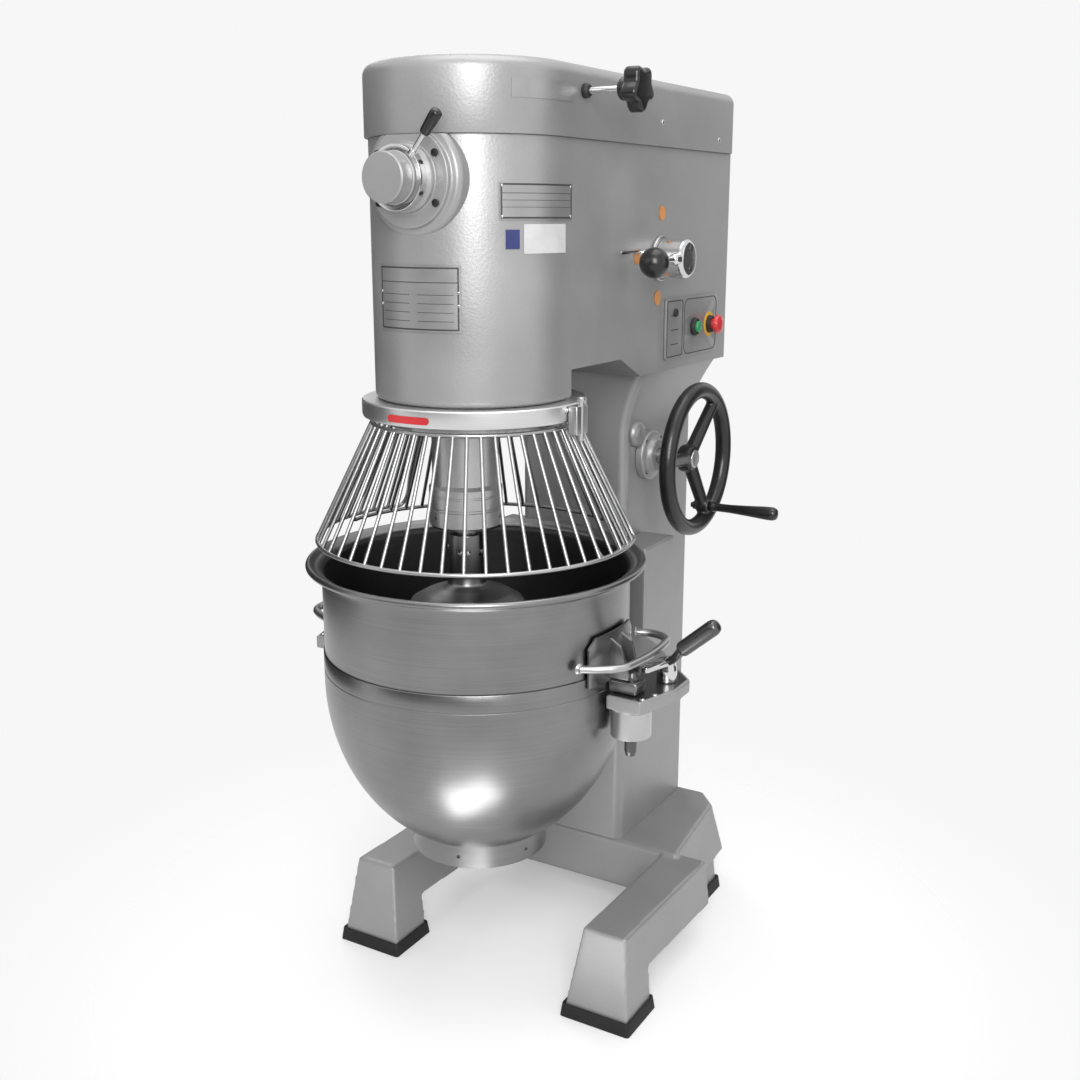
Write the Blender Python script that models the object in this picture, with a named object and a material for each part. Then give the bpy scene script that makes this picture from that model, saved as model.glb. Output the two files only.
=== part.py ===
"""Floor-standing planetary mixer with a removable 80 litre bowl.

Machine frame, in metres: +Z up, -Y to the front, +X to the handwheel side.  Every size below is
taken from the bowl's own axis at floor level; the root empty then centres the footprint.
Each moving group hangs on an empty that sits on its joint's axis.
"""
import math

import bmesh
import bpy
from mathutils import Matrix, Vector

GAP = 0.0004                     # clearance left wherever two pieces touch
ROUND = 28                       # sides of a large round piece
FINE = 12                        # sides of a small round piece

# --- base and column -------------------------------------------------------------------------
BASE_TOP = 0.162
BASE_UNDERSIDE = 0.062
LEG_FRONT_TOP_Y = 0.010
LEG_FRONT_FOOT_Y = -0.016
LEG_TOP_Z = 0.165
LEG_UNDERSIDE = 0.078
LEG_FOOT_BACK_Y = 0.080
LEG_REAR_Y = 0.345
LEG_INNER_X, LEG_OUTER_X = 0.205, 0.288      # at the top of the leg
LEG_INNER_DRAFT, LEG_OUTER_DRAFT = 0.150, 0.115
PAD_THICK = 0.024
PAD_POCKET = 0.010
PAD_RIM = 0.007
FRONT_PAD = (0.176, -0.023, 0.312, 0.0865)   # x0, y0, x1, y1
REAR_PAD = (0.133, 0.440, 0.245, 0.542)
COLUMN_HALF_WIDTH = 0.112
COLUMN_FRONT, COLUMN_BACK = 0.330, 0.622
COLUMN_CORNER = 0.018
COLUMN_WALL = 0.014
FLARE_START, FLARE_HALF_WIDTH, FLARE_BACK = 1.000, 0.146, 0.668
NUT_SLOT = (0.028, 0.410, 0.720)             # half width, z low, z high

# --- head ------------------------------------------------------------------------------------
HEAD_RADIUS = 0.1604
HEAD_BACK = 0.673
HEAD_WALL = 0.010
HEAD_SEAM = 1.478
HEAD_NOTCH_Z = 1.126
HEAD_REAR_Z = 1.089
HEAD_NOSE_Z = 1.078
NOTCH_SLOPE_START, NOTCH_SLOPE_END = 0.208, 0.287
COVER_RADIUS = 0.1660
COVER_TOP = 1.587
COVER_WALL = 0.007
COVER_EDGE = 0.020
REAR_PANEL_THICK = 0.0026
COLLAR_RADIUS, COLLAR_BORE = 0.183, 0.148
COLLAR_BOTTOM = 1.0486

# --- guard cage ------------------------------------------------------------------------------
GUARD_TOP_Z, GUARD_TOP_R = 1.046, 0.166
GUARD_LOW_Z, GUARD_LOW_R = 0.846, 0.265
GUARD_WIRE = 0.006
GUARD_PITCH = 8.6                            # degrees between wires
GUARD_INSET = 0.0115

# --- planetary drive -------------------------------------------------------------------------
GEAR_MODULE = 0.0075
RING_TEETH, PLANET_TEETH = 32, 12
ORBIT = GEAR_MODULE * (RING_TEETH - PLANET_TEETH) / 2
ORBIT_ANGLE = math.radians(-69.0)
ORBIT_X, ORBIT_Y = ORBIT * math.cos(ORBIT_ANGLE), ORBIT * math.sin(ORBIT_ANGLE)
OUTPUT_TEETH, LAYSHAFT_TEETH = 24, 12
LAYSHAFT_Y = GEAR_MODULE * (OUTPUT_TEETH + LAYSHAFT_TEETH) / 2
MOTOR_Y = 0.500
MOTOR_RADIUS = 0.085
PULLEY_LOW, PULLEY_HIGH = 1.500, 1.540
INPUT_PULLEY_R, MOTOR_PULLEY_R = 0.100, 0.050
BELT_THICK = 0.006
CARRIER_LOW, CARRIER_HIGH = 1.034, 1.050
PIN_Z = 0.838

# --- bowl, yoke and clamps (bowl raised) -----------------------------------------------------
BOWL_RADIUS = 0.261
BOWL_WALL = 0.004
BOWL_RIM_R, BOWL_RIM_Z = 0.285, 0.809
BOWL_SHOULDER_Z, BOWL_DEPTH = 0.605, 0.311   # the round bottom starts here and is this deep
FOOT_RING_R, FOOT_RING_Z = 0.118, 0.289
LIFT_TRAVEL = 0.200
SADDLE_HALF_WIDTH = 0.180
SADDLE_FRONT, SADDLE_BACK = 0.280, 0.405
SADDLE_LOW, SADDLE_HIGH = 0.575, 0.779
ARM_LOW, ARM_TOP = 0.585, 0.620
ARM_INNER_R, ARM_OUTER_R = 0.272, 0.332
YOKE_PIN = (0.296, -0.002)
YOKE_BOSS_R = 0.032
HANDLE_X, HANDLE_Z, HANDLE_TUBE = 0.312, 0.680, 0.0065
CLAMP_PIVOT = (0.322, 0.075)

# --- lift drive ------------------------------------------------------------------------------
WHEEL_Y, WHEEL_Z, WHEEL_X = 0.4145, 0.926, 0.216
WHEEL_RIM_R, WHEEL_TUBE = 0.127, 0.0150
WHEEL_SPOKE_ANGLES = (-66.0, 54.0, 174.0)
SCREW_RADIUS = 0.016
CRANK_R = 0.106
CRANK_END_X = 0.362

# --- controls --------------------------------------------------------------------------------
HUB_Z = 1.416
HUB_FACE_Y = -0.172
HUB_CAP_Y = -0.233
SELECTOR_Y, SELECTOR_Z, SELECTOR_R = 0.356, 1.290, 0.034
SELECTOR_END_X = 0.218
SELECTOR_ARM = 0.129
PANEL = (0.378, 1.108, 0.610, 1.218)         # y0, z0, y1, z1
START_Y, STOP_Y, BUTTON_Z = 0.500, 0.572, 1.161
KNOB_Y, KNOB_Z = 0.061, 1.547

DEPTH_CENTRE = (HEAD_BACK + GAP + REAR_PANEL_THICK - BOWL_RIM_R) / 2


# --- scene, materials and bodies -------------------------------------------------------------
for leftover in list(bpy.data.objects):
    bpy.data.objects.remove(leftover, do_unlink=True)

BODIES = {}
PAINTS = {}


def paint(name, colour, roughness, metallic):
    """A plain Principled material."""
    material = bpy.data.materials.new(name)
    material.use_nodes = True
    shader = material.node_tree.nodes["Principled BSDF"]
    shader.inputs["Base Color"].default_value = (*colour, 1.0)
    shader.inputs["Roughness"].default_value = roughness
    shader.inputs["Metallic"].default_value = metallic
    material.diffuse_color = (*colour, 1.0)
    PAINTS[name] = material


def body(name, pivot, parent=None):
    """An empty on a joint's axis; pivot is in the machine frame."""
    empty = bpy.data.objects.new(name + "_axis", None)
    bpy.context.collection.objects.link(empty)
    pivot = Vector(pivot)
    if parent:
        empty.parent = BODIES[parent][0]
        empty.location = pivot - BODIES[parent][1]
    else:
        empty.location = pivot + Vector((0, -DEPTH_CENTRE, 0))
    BODIES[name] = (empty, pivot)


def piece(name, mesh_builder, owner, paint_name, smooth=35):
    """Turns a bmesh drawn in the machine frame into one named object on its body."""
    bmesh.ops.remove_doubles(mesh_builder, verts=mesh_builder.verts, dist=1e-6)
    bmesh.ops.recalc_face_normals(mesh_builder, faces=mesh_builder.faces)
    mesh = bpy.data.meshes.new(name)
    mesh_builder.to_mesh(mesh)
    mesh_builder.free()
    mesh.shade_smooth()
    mesh.set_sharp_from_angle(angle=math.radians(smooth))
    mesh.materials.append(PAINTS[paint_name])
    obj = bpy.data.objects.new(name, mesh)
    bpy.context.collection.objects.link(obj)
    obj.parent = BODIES[owner][0]
    obj.location = -BODIES[owner][1]
    return obj


def tool(mesh_builder, owner="frame"):
    """A hidden solid that cuts or adds to another piece."""
    obj = piece("tool", mesh_builder, owner, "steel")
    obj.hide_render = True
    obj.display_type = 'WIRE'
    return obj


def boolean(target, other, operation):
    modifier = target.modifiers.new(operation.lower(), 'BOOLEAN')
    modifier.operation = operation
    modifier.solver = 'EXACT'
    modifier.object = other


def cut(target, *tools):
    for other in tools:
        boolean(target, other, 'DIFFERENCE')


def weld(target, *tools):
    for other in tools:
        boolean(target, other, 'UNION')


# --- drawing helpers -------------------------------------------------------------------------
def arc(radius, start, end, steps, centre=(0.0, 0.0)):
    """Points along a circle, start and end in degrees."""
    points = []
    for step in range(steps + 1):
        angle = math.radians(start + (end - start) * step / steps)
        points.append((centre[0] + radius * math.cos(angle), centre[1] + radius * math.sin(angle)))
    return points


def prism(outline, low, high):
    """An outline in plan, extruded from low to high."""
    mesh = bmesh.new()
    corners = [mesh.verts.new((x, y, low)) for x, y in outline]
    face = mesh.faces.new(corners)
    raised = bmesh.ops.extrude_face_region(mesh, geom=[face])
    tops = [item for item in raised["geom"] if isinstance(item, bmesh.types.BMVert)]
    bmesh.ops.translate(mesh, verts=tops, vec=(0, 0, high - low))
    return mesh


def loft(lower, low, upper, high):
    """A solid between two outlines with the same number of points."""
    mesh = bmesh.new()
    bottom = [mesh.verts.new((x, y, low)) for x, y in lower]
    top = [mesh.verts.new((x, y, high)) for x, y in upper]
    mesh.faces.new(bottom)
    mesh.faces.new(reversed(top))
    for index, corner in enumerate(bottom):
        after = (index + 1) % len(bottom)
        mesh.faces.new((corner, bottom[after], top[after], top[index]))
    return mesh


def box(x0, x1, y0, y1, z0, z1):
    return prism([(x0, y0), (x1, y0), (x1, y1), (x0, y1)], z0, z1)


def turned(profile, axis="Z", centre=(0, 0, 0), steps=ROUND, closed=False):
    """Spins (radius, height) points about an axis; a closed profile makes a ring."""
    mesh = bmesh.new()
    verts = [mesh.verts.new((radius, 0, height)) for radius, height in profile]
    edges = [mesh.edges.new(pair) for pair in zip(verts, verts[1:])]
    if closed:
        edges.append(mesh.edges.new((verts[-1], verts[0])))
    bmesh.ops.spin(mesh, geom=verts + edges, cent=(0, 0, 0), axis=(0, 0, 1),
                   angle=math.tau, steps=steps, use_merge=True)
    bmesh.ops.remove_doubles(mesh, verts=mesh.verts, dist=1e-6)
    bmesh.ops.dissolve_degenerate(mesh, edges=mesh.edges, dist=1e-7)
    turn = {"Z": Matrix.Identity(4),
            "X": Matrix.Rotation(math.pi / 2, 4, 'Y'),
            "Y": Matrix.Rotation(-math.pi / 2, 4, 'X')}[axis]
    bmesh.ops.transform(mesh, matrix=Matrix.Translation(centre) @ turn, verts=mesh.verts)
    return mesh


def rod(radius, start, end, steps=FINE, end_radius=None):
    """A straight round bar between two points."""
    start, end = Vector(start), Vector(end)
    length = (end - start).length
    mesh = bmesh.new()
    bmesh.ops.create_cone(mesh, cap_ends=True, segments=steps, radius1=radius,
                          radius2=radius if end_radius is None else end_radius, depth=length)
    aim = (end - start).to_track_quat('Z', 'Y').to_matrix().to_4x4()
    bmesh.ops.transform(mesh, matrix=Matrix.Translation((start + end) / 2) @ aim, verts=mesh.verts)
    return mesh


def disc(radius, low, high, axis, centre=(0, 0), steps=FINE):
    """A plain cylinder along X, Y or Z; centre is in the other two axes, in XYZ order."""
    ends = {"X": ((low, *centre), (high, *centre)),
            "Y": ((centre[0], low, centre[1]), (centre[0], high, centre[1])),
            "Z": ((*centre, low), (*centre, high))}[axis]
    return rod(radius, *ends, steps=steps)


def ball(radius, centre, steps=FINE):
    mesh = bmesh.new()
    bmesh.ops.create_uvsphere(mesh, u_segments=steps, v_segments=steps // 2, radius=radius)
    bmesh.ops.translate(mesh, verts=mesh.verts, vec=centre)
    return mesh


def mirrored(mesh):
    """The same solid on the other side of the machine."""
    bmesh.ops.scale(mesh, vec=(-1, 1, 1), verts=mesh.verts)
    bmesh.ops.reverse_faces(mesh, faces=mesh.faces)
    return mesh


def side(mesh, name):
    return mirrored(mesh) if name == "left" else mesh


def u_outline(radius, back, corner, steps=18):
    """A plan with a half-round nose at the front and rounded rear corners."""
    outline = arc(radius, -180, 0, steps)
    outline += arc(corner, 0, 90, 3, (radius - corner, back - corner))
    outline += arc(corner, 90, 180, 3, (corner - radius, back - corner))
    return outline


def rounded_box_outline(x0, y0, x1, y1, corner, steps=3):
    outline = arc(corner, 180, 270, steps, (x0 + corner, y0 + corner))
    outline += arc(corner, 270, 360, steps, (x1 - corner, y0 + corner))
    outline += arc(corner, 0, 90, steps, (x1 - corner, y1 - corner))
    outline += arc(corner, 90, 180, steps, (x0 + corner, y1 - corner))
    return outline


def gear_outline(teeth, phase, centre=(0, 0), internal=False):
    """Straight-flanked teeth with backlash; phase is the angle of one tooth's middle."""
    pitch_radius = GEAR_MODULE * teeth / 2
    addendum, dedendum = 0.85 * GEAR_MODULE, 1.15 * GEAR_MODULE
    tip = pitch_radius + (-addendum if internal else addendum)
    root = pitch_radius + (dedendum if internal else -dedendum)
    pitch = math.tau / teeth
    outline = []
    for tooth in range(teeth):
        middle = phase + tooth * pitch
        for radius, offset in ((root, -0.31), (tip, -0.13), (tip, 0.13), (root, 0.31)):
            angle = middle + offset * pitch
            outline.append((centre[0] + radius * math.cos(angle),
                            centre[1] + radius * math.sin(angle)))
    return outline


def cage(name, owner, profile, wire, start, pitch, count, centre=(0, 0), closed=False):
    """Bars that follow a profile of (radius, z), joined by a band at the top and at the bottom."""
    mesh = bmesh.new()
    columns = []
    for index in range(count):
        angle = math.radians(start + pitch * index)
        for hand in (-1, 1):
            column = []
            for radius, height in profile:
                turn = angle + hand * wire / 2 / radius
                column.append(mesh.verts.new((centre[0] + radius * math.cos(turn),
                                              centre[1] + radius * math.sin(turn), height)))
            columns.append(column)
    last = len(columns) if closed else len(columns) - 1
    for index in range(last):
        here, there = columns[index], columns[(index + 1) % len(columns)]
        for row in range(len(profile) - 1):
            is_band = row in (0, len(profile) - 2)
            if is_band or index % 2 == 0:
                mesh.faces.new((here[row], here[row + 1], there[row + 1], there[row]))
    obj = piece(name, mesh, owner, "chrome")
    solidify = obj.modifiers.new("thickness", 'SOLIDIFY')
    solidify.thickness = wire
    solidify.offset = 0.0
    return obj


# --- base, pads and column -------------------------------------------------------------------
def leg_x(height, is_outer):
    if is_outer:
        return LEG_OUTER_X + LEG_OUTER_DRAFT * (LEG_TOP_Z - height)
    return LEG_INNER_X - LEG_INNER_DRAFT * (LEG_TOP_Z - height)


def front_leg():
    """A side profile with drafted sides, from the foot up and back into the crossbar."""
    foot = PAD_THICK - PAD_POCKET + GAP
    profile = [(LEG_FRONT_FOOT_Y, foot), (LEG_FOOT_BACK_Y, foot), (LEG_FOOT_BACK_Y + 0.004, LEG_UNDERSIDE),
               (LEG_REAR_Y, LEG_UNDERSIDE - 0.010), (LEG_REAR_Y, BASE_TOP - 0.006),
               (LEG_FRONT_TOP_Y, LEG_TOP_Z)]
    mesh = bmesh.new()
    inner = [mesh.verts.new((leg_x(z, False), y, z)) for y, z in profile]
    outer = [mesh.verts.new((leg_x(z, True), y, z)) for y, z in profile]
    mesh.faces.new(inner)
    mesh.faces.new(reversed(outer))
    for index, corner in enumerate(inner):
        after = (index + 1) % len(inner)
        mesh.faces.new((corner, outer[index], outer[after], inner[after]))
    bmesh.ops.recalc_face_normals(mesh, faces=mesh.faces)
    return mesh


def rear_leg():
    x0, y0, x1, y1 = REAR_PAD
    inset = PAD_RIM + GAP
    foot = [(x0 + inset, y0 + inset), (x1 - inset, y0 + inset),
            (x1 - inset, y1 - inset), (x0 + inset, y1 - inset)]
    top = [(0.120, 0.430), (0.216, 0.430), (0.205, 0.570), (0.120, 0.570)]
    return loft(foot, PAD_THICK - PAD_POCKET + GAP, top, BASE_TOP - 0.030)


def base_casting():
    half_top = [(0.234, COLUMN_FRONT), (0.205, 0.575), (0.165, 0.620)]
    half_low = [(0.250, COLUMN_FRONT), (0.232, 0.580), (0.180, 0.625)]
    upper = half_top + [(-x, y) for x, y in reversed(half_top)]
    lower = half_low + [(-x, y) for x, y in reversed(half_low)]
    base = piece("base_casting", loft(lower, BASE_UNDERSIDE, upper, BASE_TOP), "frame", "hammertone")
    for hand in ("right", "left"):
        weld(base, tool(side(front_leg(), hand)), tool(side(rear_leg(), hand)))


def foot_pad(name, footprint, hand):
    x0, y0, x1, y1 = footprint
    mesh = box(x0, x1, y0, y1, 0, PAD_THICK)
    top = max(mesh.faces, key=lambda face: face.calc_center_median().z)
    bmesh.ops.inset_region(mesh, faces=[top], thickness=PAD_RIM - GAP * 2, use_even_offset=True)
    bmesh.ops.translate(mesh, verts=top.verts, vec=(0, 0, -PAD_POCKET))
    piece(name, side(mesh, hand), "frame", "rubber")


def column():
    outer = rounded_box_outline(-COLUMN_HALF_WIDTH, COLUMN_FRONT, COLUMN_HALF_WIDTH, COLUMN_BACK,
                                COLUMN_CORNER)
    flared = rounded_box_outline(-FLARE_HALF_WIDTH, COLUMN_FRONT, FLARE_HALF_WIDTH, FLARE_BACK,
                                 COLUMN_CORNER)
    top = HEAD_REAR_Z - GAP
    post = piece("column", prism(outer, BASE_TOP + GAP, FLARE_START), "frame", "hammertone")
    weld(post, tool(loft(outer, FLARE_START - 0.001, flared, top)))
    wall = COLUMN_WALL
    bore = prism(rounded_box_outline(-COLUMN_HALF_WIDTH + wall, COLUMN_FRONT + wall,
                                     COLUMN_HALF_WIDTH - wall, COLUMN_BACK - wall, 0.006, 1),
                 BASE_TOP - 0.01, top + 0.01)
    half, low, high = NUT_SLOT
    slot = box(-half, half, COLUMN_FRONT - 0.01, COLUMN_FRONT + wall + 0.01, low, high)
    shaft_hole = disc(0.0150, 0.090, 0.130, "X", (WHEEL_Y, WHEEL_Z))
    cut(post, tool(bore), tool(slot), tool(shaft_hole))


def cable_gland():
    profile = [(0.006, 0), (0.020, 0), (0.020, 0.006), (0.014, 0.006), (0.014, 0.022), (0.006, 0.022)]
    mesh = turned(profile, "Y", (0.050, COLUMN_BACK + GAP, 0.300), FINE, closed=True)
    piece("cable_gland", mesh, "frame", "black_plastic")


# --- head ------------------------------------------------------------------------------------
def side_profile_prism(points, half_width):
    """A (y, z) outline extruded across the machine."""
    mesh = bmesh.new()
    near = [mesh.verts.new((-half_width, y, z)) for y, z in points]
    face = mesh.faces.new(near)
    raised = bmesh.ops.extrude_face_region(mesh, geom=[face])
    moved = [item for item in raised["geom"] if isinstance(item, bmesh.types.BMVert)]
    bmesh.ops.translate(mesh, verts=moved, vec=(2 * half_width, 0, 0))
    bmesh.ops.recalc_face_normals(mesh, faces=mesh.faces)
    return mesh


def head_housing():
    outer = u_outline(HEAD_RADIUS, HEAD_BACK, 0.012)
    inner = u_outline(HEAD_RADIUS - HEAD_WALL, HEAD_BACK - HEAD_WALL, 0.006)
    housing = piece("head_housing", prism(outer, HEAD_NOSE_Z, HEAD_SEAM), "frame", "hammertone")
    below = HEAD_NOSE_Z - 0.010
    far = HEAD_BACK + 0.1
    start = 0.012
    notch = tool(side_profile_prism([(start, below), (far, below), (far, HEAD_REAR_Z),
                                     (NOTCH_SLOPE_END, HEAD_REAR_Z), (NOTCH_SLOPE_START, HEAD_NOTCH_Z),
                                     (start, HEAD_NOTCH_Z)], 0.30))
    cut(notch, tool(disc(HEAD_RADIUS - 0.0012, below - 0.01, HEAD_NOTCH_Z + 0.02, "Z", steps=48)))
    floor_z = HEAD_NOTCH_Z + HEAD_WALL
    cavity = prism(inner, floor_z, HEAD_SEAM + 0.02)
    nose_cavity = disc(HEAD_RADIUS - HEAD_WALL - 0.002, HEAD_NOSE_Z + 0.012, floor_z + 0.01, "Z",
                       steps=48)
    half = HEAD_RADIUS - HEAD_WALL - 0.002
    rear_cavity = box(-half, half, NOTCH_SLOPE_END + 0.008, HEAD_BACK - HEAD_WALL - 0.002,
                      HEAD_REAR_Z + HEAD_WALL, floor_z + 0.014)
    shaft_bore = disc(0.0225, below, HEAD_NOSE_Z + 0.05, "Z", steps=24)
    hub_bore = disc(0.016, -0.20, -0.10, "Y", (0, HUB_Z))
    column_bore = box(-0.09, 0.09, 0.350, 0.395, below, floor_z + 0.02)
    cut(housing, notch, tool(cavity), tool(nose_cavity), tool(rear_cavity), tool(shaft_bore),
        tool(hub_bore), tool(column_bore))


def top_cover():
    back = HEAD_BACK
    cover = prism(u_outline(COVER_RADIUS, back, 0.014), HEAD_SEAM + GAP, COVER_TOP)
    top = max(cover.faces, key=lambda face: face.calc_center_median().z)
    bmesh.ops.bevel(cover, geom=list(top.edges), offset=COVER_EDGE, segments=3, profile=0.5,
                    affect='EDGES', clamp_overlap=False)
    shell = piece("top_cover", cover, "frame", "hammertone")
    inner = u_outline(COVER_RADIUS - COVER_WALL, back - COVER_WALL, 0.008)
    cut(shell, tool(prism(inner, HEAD_SEAM - 0.01, COVER_TOP - COVER_WALL - 0.003)),
        tool(disc(0.0065, 0.140, 0.190, "X", (KNOB_Y, KNOB_Z))))


def rear_panel():
    low, high = HEAD_REAR_Z + 0.03, HEAD_SEAM - 0.02
    mesh = box(-0.130, 0.130, HEAD_BACK + GAP, HEAD_BACK + GAP + REAR_PANEL_THICK, low, high)
    panel = piece("rear_panel", mesh, "frame", "hammertone")
    for row in range(6):
        z = low + 0.10 + row * 0.028
        cut(panel, tool(box(-0.080, 0.080, HEAD_BACK - 0.01, HEAD_BACK + 0.02, z, z + 0.010)))


def drip_collar():
    top, low = HEAD_NOSE_Z - GAP, COLLAR_BOTTOM
    profile = [(COLLAR_BORE, top), (COLLAR_BORE, low + 0.004), (COLLAR_BORE + 0.004, low),
               (COLLAR_RADIUS - 0.006, low), (COLLAR_RADIUS - 0.0015, low + 0.003),
               (COLLAR_RADIUS, low + 0.008), (COLLAR_RADIUS, top)]
    piece("drip_collar", turned(profile, steps=36, closed=True), "frame", "collar_steel")


def guard_bracket():
    mesh = box(COLLAR_RADIUS + GAP * 2, 0.200, -0.016, 0.020, 1.030, 1.076)
    bracket = piece("guard_bracket", mesh, "frame", "collar_steel")
    weld(bracket, tool(disc(0.005, 1.020, 1.090, "Z", (0.197, 0.002))))


def guard_profile(inset):
    """Top band, wire and bottom band of the cone, moved square to its slope by the inset."""
    run, drop = GUARD_LOW_R - GUARD_TOP_R, GUARD_TOP_Z - GUARD_LOW_Z
    length = math.hypot(run, drop)
    shift_r, shift_z = -inset * drop / length, -inset * run / length
    rows = []
    for share in (0.0, 0.035, 0.965, 1.0):
        rows.append((GUARD_TOP_R + run * share + shift_r, GUARD_TOP_Z - drop * share + shift_z - 0.003))
    return rows


def guards():
    cage("guard_front", "guard", guard_profile(0), GUARD_WIRE, -206.0, GUARD_PITCH, 28)
    cage("guard_rear", "frame", guard_profile(GUARD_INSET), GUARD_WIRE, -6.0, GUARD_PITCH, 23)


def name_plates():
    """Bare plates rolled to the nose's curve."""
    for name, start, end, low, high in (("front_plate", -117.0, -63.0, 1.193, 1.292),
                                        ("side_plate", -42.5, 0.0, 1.357, 1.411)):
        inner = arc(HEAD_RADIUS + 0.0008, start, end, 10)
        outer = arc(HEAD_RADIUS + 0.0020, end, start, 10)
        if end == 0.0:
            inner.append((HEAD_RADIUS + 0.0008, 0.032))
            outer.insert(0, (HEAD_RADIUS + 0.0020, 0.032))
        piece(name, prism(inner + outer, low, high), "frame", "plate_silver")


# --- attachment hub --------------------------------------------------------------------------
def hub():
    """A cast pad on the nose, a bolted flange and a neck that the lever ring turns on."""
    profile = [(0.0125, 0), (0.0125, 0.1026), (0.0390, 0.1026), (0.0390, 0.082), (0.0500, 0.075),
               (0.0500, 0.067), (0.0720, 0.067), (0.0720, 0.056), (0.0820, 0.054), (0.0860, 0.050),
               (0.0860, 0)]
    pad = turned([(r, -y) for r, y in profile], "Y", (0, -0.105, HUB_Z), 28, closed=True)
    housing = piece("hub_housing", pad, "frame", "hammertone")
    cut(housing, tool(disc(HEAD_RADIUS + GAP * 2, 1.2, 1.6, "Z", steps=60)),
        tool(box(-0.1, 0.1, -0.3, -0.09, HEAD_SEAM - GAP, 1.6)))
    for x, z in ((0.051, 0.035), (0.051, -0.035), (-0.051, 0.035), (-0.051, -0.035)):
        weld(housing, tool(disc(0.0055, HUB_FACE_Y - 0.003, HUB_FACE_Y + 0.004, "Y",
                                (x, HUB_Z + z), 6)))
    cap_profile = [(0, 0), (0.0365, 0), (0.0365, 0.025), (0.0290, 0.025), (0.0290, 0.005), (0, 0.005)]
    cap = turned(cap_profile, "Y", (0, HUB_CAP_Y, HUB_Z), ROUND)
    piece("hub_cap", cap, "frame", "collar_steel")


def hub_lever():
    ring = turned([(0.0395, 0), (0.0395, 0.015), (0.0470, 0.015), (0.0470, 0)], "Y",
                  (0, -0.2035, HUB_Z), 28, closed=True)
    lever = piece("hub_lever", ring, "hub_lever", "chrome")
    aim = math.radians(47)
    root = (0.043 * math.cos(aim), -0.200, HUB_Z + 0.043 * math.sin(aim))
    elbow = (0.090 * math.cos(aim), -0.206, HUB_Z + 0.090 * math.sin(aim))
    weld(lever, tool(rod(0.0038, root, elbow, 8), "hub_lever"))
    grip_start = Vector(root).lerp(Vector(elbow), 0.95)
    grip_end = Vector(root).lerp(Vector(elbow), 1.85)
    weld(lever, tool(rod(0.0075, grip_start, grip_end, 12, 0.0095), "hub_lever"))


# --- side controls ---------------------------------------------------------------------------
def control_panel():
    y0, z0, y1, z1 = PANEL
    x0 = HEAD_RADIUS + GAP
    panel = piece("control_panel", box(x0, x0 + 0.004, y0, y1, z0, z1), "frame", "plate_silver")
    for y, radius in ((START_Y, 0.0165), (STOP_Y, 0.0190)):
        weld(panel, tool(disc(radius, x0 + 0.002, 0.174, "X", (y, BUTTON_Z), 20)))
        cut(panel, tool(disc(0.0115, x0 + 0.0018, 0.190, "X", (y, BUTTON_Z), 16)))


def buttons():
    start = disc(0.0108, 0.1675, 0.1785, "X", (START_Y, BUTTON_Z), 16)
    piece("start_button", start, "start_button", "green")
    profile = [(0, 0.1675), (0.0108, 0.1675), (0.0108, 0.1795), (0.0175, 0.1795), (0.0185, 0.1830),
               (0.0165, 0.1890), (0.0080, 0.1915), (0, 0.1920)]
    stop = turned(profile, "X", (0, STOP_Y, BUTTON_Z), 16)
    piece("stop_button", stop, "stop_button", "red")


def gear_selector():
    y, z = SELECTOR_Y, SELECTOR_Z
    base = turned([(0.010, 0), (0.010, 0.006), (0.0385, 0.006), (0.0400, 0.004), (0.0400, 0)], "X",
                  (HEAD_RADIUS + GAP, y, z), 28, closed=True)
    piece("selector_base", base, "frame", "collar_steel")
    drum_start = HEAD_RADIUS + GAP + 0.006 + GAP
    drum = turned([(0, drum_start), (SELECTOR_R, drum_start), (SELECTOR_R, SELECTOR_END_X - 0.004),
                   (SELECTOR_R - 0.004, SELECTOR_END_X), (0, SELECTOR_END_X)], "X", (0, y, z), 28)
    selector = piece("gear_selector", drum, "gear_selector", "chrome")
    lever_x = 0.206
    ball_y = y - SELECTOR_ARM
    weld(selector, tool(rod(0.0055, (lever_x, y - 0.02, z), (lever_x, ball_y + 0.024, z), 10),
                        "gear_selector"),
         tool(box(drum_start, drum_start + 0.003, y - 0.170, y, z + 0.010, z + 0.016), "gear_selector"))
    piece("selector_ball", ball(0.0255, (lever_x + 0.006, ball_y - 0.002, z - 0.003), 14),
          "gear_selector", "black_plastic")


def speed_knob():
    stem = turned([(0, 0.130), (0.0060, 0.130), (0.0060, 0.2300), (0.0170, 0.2300), (0.0170, 0.2440),
                   (0, 0.2440)], "X", (0, KNOB_Y, KNOB_Z), FINE)
    outline = []
    lobes, points = 5, 40
    for index in range(points):
        angle = math.tau * index / points
        radius = 0.0315 + 0.0035 * math.cos(lobes * angle)
        outline.append((radius * math.cos(angle), radius * math.sin(angle)))
    knob = prism(outline, 0.2430, 0.2700)
    bmesh.ops.transform(knob, matrix=Matrix.Translation((0, KNOB_Y, KNOB_Z))
                        @ Matrix.Rotation(math.pi / 2, 4, 'Y'), verts=knob.verts)
    weld(piece("speed_knob", stem, "speed_knob", "black_plastic"), tool(knob, "speed_knob"))


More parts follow.
